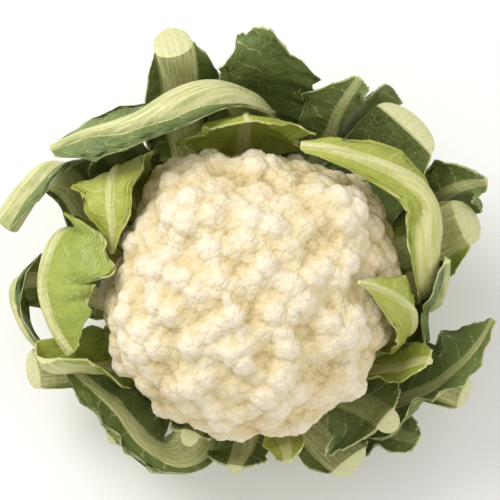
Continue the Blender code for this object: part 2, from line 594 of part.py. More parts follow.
def outward(sheet, edges):
    """The direction that points away from the head at each point of a leaf's grid, even across the rib."""
    own = unit(np.cross(np.gradient(sheet, axis=1), np.gradient(sheet, axis=0)))
    right, left = edges
    columns = np.arange(sheet.shape[1])
    rib = unit(np.cross(sheet[:, left] - sheet[:, right], np.gradient(sheet[:, (left + right) // 2], axis=0)))
    rib = unit(rib + np.concatenate([rib[:1], rib[:-1]]) + np.concatenate([rib[1:], rib[-1:]]))
    nearest = np.clip(columns, right, left)
    away = np.linalg.norm(sheet - sheet[:, nearest], axis=2)
    share = np.clip(away / RIB_BLEND, 0.0, 1.0)[..., None]
    return unit(own * share + rib[:, None] * (1.0 - share))


def make_leaf(leaf, reach):
    grid, bulge = leaf_sheet(leaf, reach)
    length = np.linalg.norm(np.diff(grid[:, WING_CELLS + RIB_CELLS // 2], axis=0), axis=1).sum()
    count = int(np.clip(round(length / KEPT_ROW_LENGTH) + 1, KEPT_ROWS_LEAST, KEPT_ROWS_MOST))
    rows = np.round(np.linspace(0, FINE_ROWS - 1, count)).astype(int)
    last = 2 * WING_CELLS + RIB_CELLS
    wings = [KEPT_WING_CELLS if max(w) > NARROW_WING else KEPT_NARROW_CELLS for w in (leaf.right, leaf.left)]
    columns = (
        list(wings[0]) + [WING_CELLS + k for k in KEPT_RIB_CELLS] + [last - k for k in wings[1][::-1]]
    )
    sheet, bulge = grid[np.ix_(rows, columns)], bulge[np.ix_(rows, columns)][..., None]
    edges = (len(wings[0]) - 1, len(wings[0]) + len(KEPT_RIB_CELLS))
    inside = sheet - outward(sheet, edges) * leaf.belly * bulge
    front = settle(inside, reach)
    sheet = sheet + front - inside
    back = off_stalk(sheet + outward(sheet, edges) * (BLADE_THICKNESS + bulge))
    corners = face_corners(*front.shape[:2])
    for face in (front, back):
        reach.add(np.einsum("sk,fkx->fsx", face_weights(12), face.reshape(-1, 3)[corners]))
    return add_object(leaf.name, sheet_mesh(leaf.name, front, back), *TONES[leaf.tone])


def sheet_mesh(name, front, back):
    """One closed mesh of two like grids and the rim between them, split into triangles alike."""
    rows, columns = front.shape[:2]
    points = np.concatenate([front.reshape(-1, 3), back.reshape(-1, 3)])
    away = rows * columns
    faces = []
    for i in range(rows - 1):
        for j in range(columns - 1):
            a, b = i * columns + j, i * columns + j + 1
            c, d = a + columns, b + columns
            faces += [(a, d, c), (a, b, d), (away + a, away + c, away + d), (away + a, away + d, away + b)]
    rim = [(0, j) for j in range(columns)] + [(i, columns - 1) for i in range(1, rows)]
    rim += [(rows - 1, j) for j in range(columns - 2, -1, -1)] + [(i, 0) for i in range(rows - 2, 0, -1)]
    rim = [i * columns + j for i, j in rim]
    for here, there in zip(rim, rim[1:] + rim[:1]):
        faces += [(here, away + there, there), (here, away + here, away + there)]
    mesh = bpy.data.meshes.new(name)
    mesh.from_pydata(points.tolist(), [], faces)
    body = bmesh.new()
    body.from_mesh(mesh)
    bmesh.ops.recalc_face_normals(body, faces=body.faces)
    body.to_mesh(mesh)
    body.free()
    return mesh


def main():
    clear_scene()
    head = make_head(*curdlets())
    make_stalk()
    reach = Reach()
    points = np.array([vertex.co for vertex in head.data.vertices])
    corners = np.array([face.vertices for face in head.data.polygons])
    spots = np.einsum("sk,fkx->fsx", face_weights(6), points[corners])
    heart = np.array([0.0, 0.0, HEART_HEIGHT])
    reach.add(spots + unit(spots - heart) * (HEAD_GAP - LEAF_GAP))
    for leaf in LEAVES:
        make_leaf(leaf, reach)


main()
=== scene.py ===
# %% [markdown]
# # A trimmed cauliflower
#
# The real object is a fresh cauliflower: a cream head of florets, called the curd, in a ring of cut leaves.
# Its CAD model is loaded first and is never moved. Each organ is then made again, finer, in the same
# place, and stands for its CAD node.
#
# The curd and the leaves grow by rules, so both are worked out from the same rules as the CAD solids.
# Geometry Nodes then grow what covers their surfaces: buds and grains on the curd, veins on the leaves.

# %% Load the frame
import math
from typing import NamedTuple

import bmesh
import bpy
import numpy as np
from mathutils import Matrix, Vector


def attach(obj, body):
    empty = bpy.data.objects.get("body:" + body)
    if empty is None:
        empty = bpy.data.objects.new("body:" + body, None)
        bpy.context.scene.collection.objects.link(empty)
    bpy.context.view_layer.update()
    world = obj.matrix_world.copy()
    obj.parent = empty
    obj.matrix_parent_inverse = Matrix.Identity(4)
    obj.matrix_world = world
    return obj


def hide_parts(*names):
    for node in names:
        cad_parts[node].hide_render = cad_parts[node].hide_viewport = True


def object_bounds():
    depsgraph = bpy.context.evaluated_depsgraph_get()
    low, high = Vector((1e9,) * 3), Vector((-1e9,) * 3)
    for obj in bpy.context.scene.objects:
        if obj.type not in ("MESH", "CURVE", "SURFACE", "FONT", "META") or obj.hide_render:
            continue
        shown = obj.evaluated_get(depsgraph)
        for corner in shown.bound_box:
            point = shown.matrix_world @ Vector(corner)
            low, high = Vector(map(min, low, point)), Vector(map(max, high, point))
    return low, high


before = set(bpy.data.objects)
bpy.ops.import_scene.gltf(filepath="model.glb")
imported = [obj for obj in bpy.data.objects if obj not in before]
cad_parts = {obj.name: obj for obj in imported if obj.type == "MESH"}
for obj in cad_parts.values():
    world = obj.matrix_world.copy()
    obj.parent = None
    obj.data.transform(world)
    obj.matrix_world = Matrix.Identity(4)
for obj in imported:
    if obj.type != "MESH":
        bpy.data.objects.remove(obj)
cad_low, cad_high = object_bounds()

MM = 0.001
print("loaded", len(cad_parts), "CAD nodes, high", round(cad_high.z / MM, 1), "mm")

# %% [markdown]
# ## Small helpers
#
# Colours are picked from the object as sRGB hex values, but Blender's shaders work in linear light, so
# one function turns them. Node trees are built with one function too: it adds a node, sets it and feeds
# it, and its result can be fed to the next one.

# %% Helpers for colours and nodes
def linear(code, alpha=1.0):
    """An sRGB hex colour as linear red, green, blue and alpha."""
    shares = [int(code[k : k + 2], 16) / 255.0 for k in (1, 3, 5)]
    return (*[s / 12.92 if s <= 0.04045 else ((s + 0.055) / 1.055) ** 2.4 for s in shares], alpha)


def add(tree, kind, feeds=None, **settings):
    """Adds a node with its settings, and sets or links its sockets, which are named or numbered."""
    node = tree.nodes.new(kind)
    for name, value in settings.items():
        setattr(node, name, value)
    for key, value in (feeds or {}).items():
        if isinstance(key, int):
            socket = node.inputs[key]
        else:
            socket = next(s for s in node.inputs if s.enabled and s.name == key)
        if isinstance(value, bpy.types.Node):
            value = next(s for s in value.outputs if s.enabled)
        if isinstance(value, bpy.types.NodeSocket):
            tree.links.new(value, socket)
        else:
            socket.default_value = value
    return node


def unit(vectors):
    return vectors / np.maximum(np.linalg.norm(vectors, axis=-1, keepdims=True), 1e-12)


print("cream is", [round(v, 3) for v in linear("#f6e8c4")])

# %% [markdown]
# ## The camera
#
# The object is seen from almost straight above, a little from the front, as a photographer leans over a
# table. A long lens keeps the head and its leaves in proportion.

# %% The camera
CAMERA_TILT = 75.0
CAMERA_DISTANCE = 0.758
CAMERA_TARGET = Vector((0.0022, 0.0232, 0.093))
CAMERA_LENS = 100.0

lean = math.radians(CAMERA_TILT)
backward = Vector((0.0, -math.cos(lean), math.sin(lean)))
camera = bpy.data.objects.new("camera", bpy.data.cameras.new("camera"))
camera.data.lens = CAMERA_LENS
camera.data.sensor_width = 36.0
camera.location = CAMERA_TARGET + backward * CAMERA_DISTANCE
camera.rotation_euler = (-backward).to_track_quat("-Z", "Y").to_euler()
bpy.context.scene.collection.objects.link(camera)
bpy.context.scene.camera = camera
print("camera at", [round(v, 3) for v in camera.location])

# %% [markdown]
# ## The shape of the curd
#
# A curd is a dome of florets, and each floret is a dome of smaller ones. The large florets are listed one
# by one, as on the object. On each one, a golden-angle spiral spreads small round curdlets evenly, as a
# plant does. The surface is how far the outermost of all these spheres reaches in each direction, so
# neighbours meet in sharp creases. A filling keeps the gaps between florets shallow, and a thin seam runs
# where two of them meet. Sculpting could do this too, but a rule is even and easy to change.

# %% The florets and curdlets
GOLDEN_ANGLE = math.pi * (3.0 - math.sqrt(5.0))
HEAD_HALF_WIDTH = 79.0 * MM
HEAD_HALF_DEPTH = 77.0 * MM
HEAD_RISE = 56.0 * MM
HEAD_CENTRE_HEIGHT = 90.0 * MM
HEAD_SKIRT_REACH = 50.0 * MM
# The dome is pressed in on one side and swells on two. Directions and spans are in degrees
HEAD_PRESSED_TOWARD = 156.0
HEAD_PRESSED_SPAN = 26.0
HEAD_PRESSED_SHARE = 0.10
# Each swelling's direction, span and share of the reach
HEAD_SWELLS = ((36, 24, 0.14), (126, 15, 0.13))
FLORET_STANDS_OUT = 4.0 * MM
FILLING_STANDS_OUT = 1.8 * MM
SEAM_DEPTH = 0.7 * MM
SEAM_WIDTH = 0.8 * MM
FLORET_FLESH_SHOWS = 2.0 * MM
CURDLET_RADIUS = 8.2 * MM
CURDLET_STANDS_OUT = 0.25
CREASE_SOFTNESS = 0.7 * MM
STALK_HEIGHT = 55.0 * MM

# The large florets: azimuth and tilt from straight up, in degrees, and radius in millimetres
FLORETS = (
    (70, 31, 24), (129, 47, 22), (36, 62, 24), (8, 51, 18), (152, 24, 17), (180, 50, 17),
    (195, 31, 13), (224, 17, 10), (352, 12, 14), (341, 35, 19), (331, 63, 22), (212, 69, 20),
    (196, 67, 13), (238, 48, 16), (298, 51, 14), (244, 65, 17), (285, 68, 22), (260, 77, 15),
    (314, 78, 16), (302, 35, 14), (85, 68, 18), (255, 30, 11), (206, 49, 13), (265, 46, 12),
    (155, 72, 18), (8, 82, 16), (110, 72, 16),
)
RIM_FLORETS = 13
RIM_TILT = 96.0
RIM_RADIUS = 16.0
# A floret carries this many curdlets for each time that a curdlet's disc fits in its own
CURDLETS_PER_DISC = 1.55
CURDLET_CROWDING = 1.3
FEWEST_CURDLETS = 5


def direction(azimuth, tilt):
    """The unit vector at an azimuth and a tilt from straight up, both in degrees."""
    a, t = math.radians(azimuth), math.radians(tilt)
    return np.array([math.sin(t) * math.cos(a), math.sin(t) * math.sin(a), math.cos(t)])


def dome_reach(ways):
    """How far the plain dome reaches from the head's centre, in each direction."""
    upper = 1.0 / np.sqrt(
        (ways[:, 0] / HEAD_HALF_WIDTH) ** 2
        + (ways[:, 1] / HEAD_HALF_DEPTH) ** 2
        + (ways[:, 2] / HEAD_RISE) ** 2
    )
    down = np.clip(-ways[:, 2], 0.0, 1.0)
    skirt = HEAD_HALF_WIDTH * (1.0 - down) ** 0.8 + HEAD_SKIRT_REACH * down
    turn = np.degrees(np.arctan2(ways[:, 1], ways[:, 0])) % 360.0 - HEAD_PRESSED_TOWARD
    level = np.hypot(ways[:, 0], ways[:, 1])
    pressed = HEAD_PRESSED_SHARE * np.exp(-((turn / HEAD_PRESSED_SPAN) ** 2)) * level
    swollen = 1.0
    for toward, span, share in HEAD_SWELLS:
        off = np.degrees(np.arctan2(ways[:, 1], ways[:, 0])) - toward
        swollen = swollen + share * np.exp(-((off / span) ** 2)) * level
    return np.where(ways[:, 2] >= 0.0, upper, skirt) * (1.0 - pressed) * swollen


def curdlets():
    """Centres, radii and florets of the small rounded curdlets, in turns of a spiral on each floret."""
    large = list(FLORETS)
    for i in range(RIM_FLORETS):
        large.append((360.0 * (i + 0.5) / RIM_FLORETS, RIM_TILT + 4.0 * math.sin(5.0 * i), RIM_RADIUS))
    centres, radii, florets = [], [], []
    for floret, (azimuth, tilt, size) in enumerate(large):
        radius = size * MM
        way = direction(azimuth, tilt)
        reach = float(dome_reach(way[None])[0]) + FLORET_STANDS_OUT - radius
        middle = way * reach
        side = unit(np.cross(way, (0.31, 0.17, 0.93)))
        across = np.cross(way, side)
        count = max(
            FEWEST_CURDLETS, round(CURDLETS_PER_DISC * (radius / CURDLET_RADIUS) ** 2 * CURDLET_CROWDING)
        )
        for k in range(count):
            lean = math.acos(1.0 - 0.92 * (k + 0.5) / count)
            turn = k * GOLDEN_ANGLE + azimuth
            out = (
                way * math.cos(lean)
                + (side * math.cos(turn) + across * math.sin(turn)) * math.sin(lean)
            )
            small = CURDLET_RADIUS * (0.84 + 0.22 * k / count) * (0.82 + radius / 0.11)
            centres.append(middle + out * (radius - small * (1.0 - CURDLET_STANDS_OUT)))
            radii.append(small)
            florets.append(floret)
        # The floret's own flesh fills the gaps between its curdlets
        centres.append(middle)
        radii.append(radius + FLORET_FLESH_SHOWS)
        florets.append(floret)
    return np.array(centres), np.array(radii), np.array(florets), np.array([f[0] for f in large])


CENTRES, RADII, FLORET_OF, FLORET_TURNS = curdlets()
FLORET_STARTS = np.unique(FLORET_OF, return_index=True)[1]
print(len(FLORET_TURNS), "florets carry", len(RADII), "curdlets")

# %% How far the head reaches
WAYS_AT_ONCE = 12000
# How much painted shade a flank, a low place and a seam each get, which colours them darker and warmer
FLANK_SHADE = 0.5
SUNK_SHADE = 0.06
SEAM_SHADE = 0.16
SUNK_DEPTH = 5.0 * MM


def head_surface(ways):
    """In each direction: how far the head reaches, how much painted crease shade the place gets, and its
    curdlet.
    """
    reach, crease_shade, owner = np.empty(len(ways)), np.empty(len(ways)), np.empty(len(ways), int)
    for first in range(0, len(ways), WAYS_AT_ONCE):
        some = slice(first, first + WAYS_AT_ONCE)
        way = ways[some]
        along = way @ CENTRES.T
        inside = along**2 - (CENTRES**2).sum(1)[None] + (RADII**2)[None]
        hit = np.where((inside > 0.0) & (along > 0.0), along + np.sqrt(np.maximum(inside, 0.0)), 0.0)
        core = dome_reach(way) + FILLING_STANDS_OUT
        top = hit.argmax(1)
        best = np.maximum(hit.max(1), core)
        total = np.exp((hit - best[:, None]) / CREASE_SOFTNESS).sum(1)
        total += np.exp((core - best) / CREASE_SOFTNESS)
        far = best + CREASE_SOFTNESS * np.log(total)
        # Where the two outermost florets reach equally far, a seam runs between them
        each = np.maximum.reduceat(hit, FLORET_STARTS, axis=1)
        second, first_one = np.partition(each, -2, axis=1)[:, -2:].T
        seam = np.exp(-np.maximum(first_one - np.maximum(second, core), 0.0) / SEAM_WIDTH)
        far = far - SEAM_DEPTH * seam
        # A flank that turns away from the head's outside is a crease between curdlets
        facing = (unit(way * far[:, None] - CENTRES[top]) * way).sum(1)
        flank = np.clip(1.0 - facing, 0.0, 1.0)
        sunk = 1.0 - np.clip((far - core) / SUNK_DEPTH, 0.0, 1.0)
        reach[some] = far
        # Painted shade: flanks, low places and seams are coloured darker and warmer
        shade = FLANK_SHADE * flank + SUNK_SHADE * sunk**2 + SEAM_SHADE * seam
        crease_shade[some] = np.clip(shade, 0.0, 1.0)
        owner[some] = np.where(hit.max(1) > 0.0, top, (way @ unit(CENTRES).T).argmax(1))
    floor = HEAD_CENTRE_HEIGHT - STALK_HEIGHT - 0.4 * MM
    under = ways[:, 2] < -0.05
    reach = np.where(under, np.minimum(reach, floor / np.maximum(-ways[:, 2], 0.05)), reach)
    return reach, crease_shade, owner


straight_up = head_surface(np.array([[0.0, 0.0, 1.0]]))[0][0]
print("the head is", round((HEAD_CENTRE_HEIGHT + straight_up) / MM, 1), "mm high in the middle")

# %% [markdown]
# ## A fine, even skin for the curd
#
# A globe with poles would bunch its cells at the top, just where the curd is looked at. A cube's six
# grids, swollen to a sphere, have even cells everywhere, so that is what the surface is drawn on.

# %% The curd's fine skin
CURD_CELLS = 200


def cube_sphere(cells):
    """Directions, and the corners of the cells, of a cube's grid swollen to a sphere."""
    i, j = (n.ravel() for n in np.meshgrid(np.arange(cells), np.arange(cells), indexing="ij"))
    quads = []
    for axis in range(3):
        for end in (0, cells):
            corners = []
            for di, dj in ((0, 0), (1, 0), (1, 1), (0, 1)):
                spot = np.empty((len(i), 3), int)
                spot[:, axis], spot[:, (axis + 1) % 3], spot[:, (axis + 2) % 3] = end, i + di, j + dj
                corners.append(spot)
            quads.append(np.stack(corners if end else corners[::-1], 1))
    quads = np.concatenate(quads)
    spots, index = np.unique(quads.reshape(-1, 3), axis=0, return_inverse=True)
    ways = unit(np.tan((spots * 2.0 / cells - 1.0) * math.pi / 4.0))
    return ways, index.reshape(-1, 4)


def mesh_from(name, points, faces, values):
    """A smooth mesh of points and faces, with a number at each point for every named attribute."""
    mesh = bpy.data.meshes.new(name)
    mesh.from_pydata(points.tolist(), [], faces if isinstance(faces, list) else faces.tolist())
    for key, numbers in values.items():
        mesh.attributes.new(key, "FLOAT", "POINT").data.foreach_set("value", np.asarray(numbers, np.float32))
    mesh.shade_smooth()
    return mesh


def places_of(mesh):
    """A mesh's points, as the rows of an array."""
    places = np.empty(len(mesh.vertices) * 3, np.float32)
    mesh.vertices.foreach_get("co", places)
    return places.reshape(-1, 3)


def values_of(mesh, key):
    """The number that a named attribute gives each of a mesh's points."""
    values = np.empty(len(mesh.vertices), np.float32)
    mesh.attributes[key].data.foreach_get("value", values)
    return values


def show(name, mesh, material=None):
    """An object at the origin that shows a mesh."""
    obj = bpy.data.objects.new(name, mesh)
    bpy.context.scene.collection.objects.link(obj)
    if material:
        mesh.materials.clear()
        mesh.materials.append(material)
    return obj


ways, cells = cube_sphere(CURD_CELLS)
reach, crease_shade, owner = head_surface(ways)
skin = ways * reach[:, None] + np.array([0.0, 0.0, HEAD_CENTRE_HEIGHT])
print("the skin has", len(ways), "points and", len(cells), "cells")

# %% [markdown]
# ## The curd's finish
#
# Curd is made of thousands of tiny flower buds, pressed together. It is matt, a little waxy and cream.
# Painted shade makes its creases darker and warmer yellow, so the colour follows how hollow a place is.
# A little subsurface scattering softens it, and a fine bump stands for buds of half a millimetre, which
# are too small to model.

# %% The curd's material
CURD_CREAM = "#eee3cb"
CURD_SHADE = "#e8dcc0"
# Painted shade: the colours of the creases and of the deepest hollows
CURD_CREASE_SHADE = "#dfcd9e"
CURD_DEEP_SHADE = "#c0a873"
BUD_GRAIN = 0.55 * MM
CURD_PATCH = 28.0 * MM


def curd_flesh():
    """Fresh curd: matt, slightly see-through flesh of packed flower buds, which looks soft and warm."""
    material = bpy.data.materials.new("curd_bud_flesh")
    material.use_nodes = True
    tree = material.node_tree
    shader = tree.nodes["Principled BSDF"]
    shader.inputs["Roughness"].default_value = 0.62
    shader.inputs["IOR"].default_value = 1.42
    shader.inputs["Subsurface Weight"].default_value = 0.22
    shader.inputs["Subsurface Radius"].default_value = (1.0, 0.72, 0.42)
    shader.inputs["Subsurface Scale"].default_value = 3.0 * MM
    place = add(tree, "ShaderNodeTexCoord").outputs["Object"]
    patch = add(tree, "ShaderNodeTexNoise", {"Vector": place, "Scale": 1.0 / CURD_PATCH, "Detail": 3.0})
    cream = add(
        tree, "ShaderNodeMix",
        {"Factor": patch, "A": linear(CURD_CREAM), "B": linear(CURD_SHADE)},
        data_type="RGBA",
    )
    # Painted shade: creases and hollows are mixed towards darker, warmer colours
    crease_shade = add(tree, "ShaderNodeAttribute", attribute_name="crease_shade").outputs["Fac"]
    crease = add(
        tree, "ShaderNodeMapRange",
        {"Value": crease_shade, "From Min": 0.2, "From Max": 0.8}, interpolation_type="SMOOTHSTEP",
    )
    shaded_crease = add(
        tree, "ShaderNodeMix",
        {"Factor": crease, "A": cream, "B": linear(CURD_CREASE_SHADE)}, data_type="RGBA",
    )
    depth = add(
        tree, "ShaderNodeMapRange",
        {"Value": crease_shade, "From Min": 0.7, "From Max": 1.1}, interpolation_type="SMOOTHSTEP",
    )
    deep = add(tree, "ShaderNodeMix", {"Factor": depth, "A": shaded_crease, "B": linear(CURD_DEEP_SHADE)}, data_type="RGBA")
    tree.links.new(next(s for s in deep.outputs if s.enabled), shader.inputs["Base Color"])
    buds = add(
        tree, "ShaderNodeTexVoronoi",
        {"Vector": place, "Scale": 1.0 / BUD_GRAIN}, feature="SMOOTH_F1",
    )
    bump = add(
        tree, "ShaderNodeBump",
        {"Strength": 0.35, "Distance": 0.25 * MM, "Height": buds.outputs["Distance"]}, invert=True,
    )
    tree.links.new(bump.outputs[0], shader.inputs["Normal"])
    return material


CURD_FLESH = curd_flesh()
print("made", CURD_FLESH.name)

# %% [markdown]
# ## Lobes, buds and grains
#
# The curd is covered with round lobes about 14 mm across, the lobes with buds about 5 mm across, and the
# buds with grains about 2 mm across. For each size, Geometry Nodes scatter points on the skin, no nearer to
# each other than that, and lower the skin along its normal, more the further a place is from its nearest
# point. That leaves round tops and sharp creases. Domes set on the points could do this too, but they
# would make the head larger.

# %% The bud tree
LOBE_SPACING = 14.5 * MM
LOBE_HEIGHT = 1.8 * MM
BUD_SPACING = 5.5 * MM
BUD_HEIGHT = 0.36 * MM
GRAIN_SPACING = 2.2 * MM
GRAIN_HEIGHT = 0.2 * MM
BUD_SEED = 7
RELAX_TURNS = 14
# The skin sinks with the square of the way to the nearest dome, no deeper than at this square
DEEPEST_SQUARE = 0.5
# Half a spacing from its top, a dome has sunk by its height
SINK_FACTOR = -4.0
# Points tried on an area of one spacing squared, so that few gaps are left
POINTS_TRIED = 9.0
# How much the creases of each size add to the painted crease shade attribute
CREASE_SHADE_SHARES = {"Lobe": 0.7, "Bud": 0.4, "Grain": 0.3}


def bud_tree():
    """Grows three sizes of round domes on a skin, and adds their creases to its painted crease shade
    attribute.
    """
    tree = bpy.data.node_groups.new("curd_buds", "GeometryNodeTree")
    tree.interface.new_socket("Geometry", in_out="OUTPUT", socket_type="NodeSocketGeometry")
    for name, kind in (
        ("Geometry", "Geometry"), ("Lobe Spacing", "Float"), ("Lobe Height", "Float"),
        ("Bud Spacing", "Float"), ("Bud Height", "Float"), ("Grain Spacing", "Float"),
        ("Grain Height", "Float"), ("Relax Turns", "Int"), ("Seed", "Int"),
        ("Material", "Material"),
    ):
        tree.interface.new_socket(name, in_out="INPUT", socket_type="NodeSocket" + kind)
    start = add(tree, "NodeGroupInput").outputs
    # Relaxing spreads the cells that a steep crease had stretched, and rounds its bottom
    relaxed = add(
        tree, "GeometryNodeBlurAttribute",
        {"Value": add(tree, "GeometryNodeInputPosition"), "Iterations": start["Relax Turns"]},
        data_type="FLOAT_VECTOR",
    )
    skin = add(tree, "GeometryNodeSetPosition", {"Geometry": start["Geometry"], "Position": relaxed})
    sharp_crease_shade = add(tree, "GeometryNodeInputNamedAttribute", {"Name": "crease_shade"})
    crease_shade = add(
        tree, "GeometryNodeBlurAttribute",
        {"Value": sharp_crease_shade, "Iterations": start["Relax Turns"]}, data_type="FLOAT",
    )
    for size, share in CREASE_SHADE_SHARES.items():
        spacing, height = start[size + " Spacing"], start[size + " Height"]
        area = add(tree, "ShaderNodeMath", {0: spacing, 1: 2.0}, operation="POWER")
        crowd = add(tree, "ShaderNodeMath", {0: POINTS_TRIED, 1: area}, operation="DIVIDE")
        points = add(
            tree, "GeometryNodeDistributePointsOnFaces",
            {"Mesh": skin, "Distance Min": spacing, "Density Max": crowd, "Seed": start["Seed"]},
            distribute_method="POISSON",
        )
        nearest = add(tree, "GeometryNodeProximity", {0: points.outputs["Points"]}, target_element="POINTS")
        away = add(
            tree, "ShaderNodeMath", {0: nearest.outputs["Distance"], 1: spacing}, operation="DIVIDE"
        )
        square = add(tree, "ShaderNodeMath", {0: away, 1: 2.0}, operation="POWER")
        sunk = add(tree, "ShaderNodeMath", {0: square, 1: DEEPEST_SQUARE}, operation="MINIMUM")
        steep = add(tree, "ShaderNodeMath", {0: height, 1: SINK_FACTOR}, operation="MULTIPLY")
        lower = add(tree, "ShaderNodeMath", {0: sunk, 1: steep}, operation="MULTIPLY")
        offset = add(
            tree, "ShaderNodeVectorMath",
            {0: add(tree, "GeometryNodeInputNormal"), "Scale": lower}, operation="SCALE",
        )
        # Painted shade: each crease makes the colour there darker
        crease = add(tree, "ShaderNodeMath", {0: sunk, 1: share}, operation="MULTIPLY")
        crease_shade = add(tree, "ShaderNodeMath", {0: crease_shade, 1: crease}, operation="ADD")
        kept = add(
            tree, "GeometryNodeStoreNamedAttribute",
            {"Geometry": skin, "Name": "crease_shade", "Value": crease_shade}, data_type="FLOAT", domain="POINT",
        )
        skin = add(tree, "GeometryNodeSetPosition", {"Geometry": kept, "Offset": offset})
        crease_shade = add(tree, "GeometryNodeInputNamedAttribute", {"Name": "crease_shade"})
    real = add(tree, "GeometryNodeRealizeInstances", {"Geometry": skin})
    done = add(tree, "GeometryNodeSetMaterial", {"Geometry": real, "Material": start["Material"]})
    add(tree, "NodeGroupOutput", {"Geometry": done})
    return tree


def grown(obj, tree, sizes):
    """The plain mesh that a Geometry Nodes tree makes of an object, with its inputs set by identifier."""
    modifier = obj.modifiers.new(tree.name, "NODES")
    modifier.node_group = tree
    for item in tree.interface.items_tree:
        if item.in_out == "INPUT" and item.name in sizes:
            modifier[item.identifier] = sizes[item.name]
    bpy.context.view_layer.update()
    evaluated = obj.evaluated_get(bpy.context.evaluated_depsgraph_get())
    mesh = bpy.data.meshes.new_from_object(evaluated)
    obj.modifiers.remove(modifier)
    return mesh


bare = show("bare_curd", mesh_from("bare_curd", skin, cells, {"crease_shade": crease_shade}))
budded = grown(
    bare, bud_tree(),
    {
        "Lobe Spacing": LOBE_SPACING, "Lobe Height": LOBE_HEIGHT,
        "Bud Spacing": BUD_SPACING, "Bud Height": BUD_HEIGHT,
        "Grain Spacing": GRAIN_SPACING, "Grain Height": GRAIN_HEIGHT,
        "Relax Turns": RELAX_TURNS, "Seed": BUD_SEED, "Material": CURD_FLESH,
    },
)
bpy.data.objects.remove(bare)
print("the budded skin has", len(budded.vertices), "points")

# %% [markdown]
# ## The curd in florets
#
# Cut a real curd and it falls into florets that run down to the heart. The pieces here do the same: each
# group of florets is closed with flat sides down to the head's centre. The cuts follow the creases
# between florets, where no seam can be seen, and each piece stays small enough to export whole.

# %% Cut the curd into groups of florets
FLORET_GROUPS = ("right", "back", "left", "front")
UNDERSIDE_TILT = 112.0
CUT_EDGE_ANGLE = 80.0


def wedge(name, points, cells, crease_shade):
    """One group's cells, closed by flat sides down to the head's centre."""
    used, index = np.unique(cells, return_inverse=True)
    index = index.reshape(cells.shape)
    sides = np.concatenate([np.stack([index[:, k], index[:, (k + 1) % 4]], 1) for k in range(4)])
    keys = sides.min(1) * len(used) + sides.max(1)
    _, first, count = np.unique(keys, return_index=True, return_counts=True)
    heart = len(used)
    fans = [(int(b), int(a), heart) for a, b in sides[first[count == 1]]]
    spots = np.concatenate([points[used], [[0.0, 0.0, HEAD_CENTRE_HEIGHT]]])
    mesh = mesh_from(name, spots, index.tolist() + fans, {"crease_shade": [*crease_shade[used], 1.0]})
    mesh.set_sharp_from_angle(angle=math.radians(CUT_EDGE_ANGLE))
    return mesh


points = places_of(budded).astype(float)
sunk = values_of(budded, "crease_shade")
group = ((FLORET_TURNS[FLORET_OF[owner]] + 45.0) % 360.0 // 90.0).astype(int)
group[ways[:, 2] < math.cos(math.radians(UNDERSIDE_TILT))] = len(FLORET_GROUPS)
cell_group = np.sort(group[cells], axis=1)[:, 1]
for number, side in enumerate((*FLORET_GROUPS, "underside")):
    piece = show(
        "curd_florets_" + side,
        wedge("curd_florets_" + side, points, cells[cell_group == number], sunk),
        CURD_FLESH,
    )
    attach(piece, "root")
    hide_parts("curd")
    print(piece.name, len(piece.data.polygons), "faces")
bpy.data.meshes.remove(budded)

# %% [markdown]
# ## The leaves' rules
#
# Each leaf is a thick rib with a thin wing on each side, and most are cut short. A leaf is a smooth
# curve for its rib, given from the stalk outwards, and a few widths and bends along it. The same rule
# makes the CAD solids, which have few faces; here it is worked out on a fine grid, so wings can ruffle.
# Leaves lie on each other, so each one is pushed out until it clears those inside it. Cloth simulation
# could settle them too, but would lose the leaves' places on the object.

# %% The leaves
class Leaf(NamedTuple):
    """One leaf. Its path's stations are azimuth in degrees, radius and height in mm, stalk first.

    The rib's rows, the widths and the heights aimed at are values in mm, spread evenly from the
    stalk to the leaf's end. Left is the anticlockwise side of a leaf that grows straight out.
    The wave is a height in mm, a count and a phase; the lobes a share of the width, a count and a
    phase; the crown how much shorter the sides are than the rib, and its own ripple and count.
    The belly is how far the rib swells inward too, as a share of its depth outward.
    """

    name: str
    path: tuple
    rib: tuple
    depth: tuple
    left: tuple
    right: tuple
    aim: tuple = (78,)
    fold: tuple = (8, 8)
    roll: tuple = (22, 22)
    wave: tuple = (3.0, 2.5, 0.0)
    lobes: tuple = (0.25, 3.3, 0.0)
    crown: tuple = (0.12, 0.02, 1.5)
    belly: float = 0.1
    tone: str = "outer"


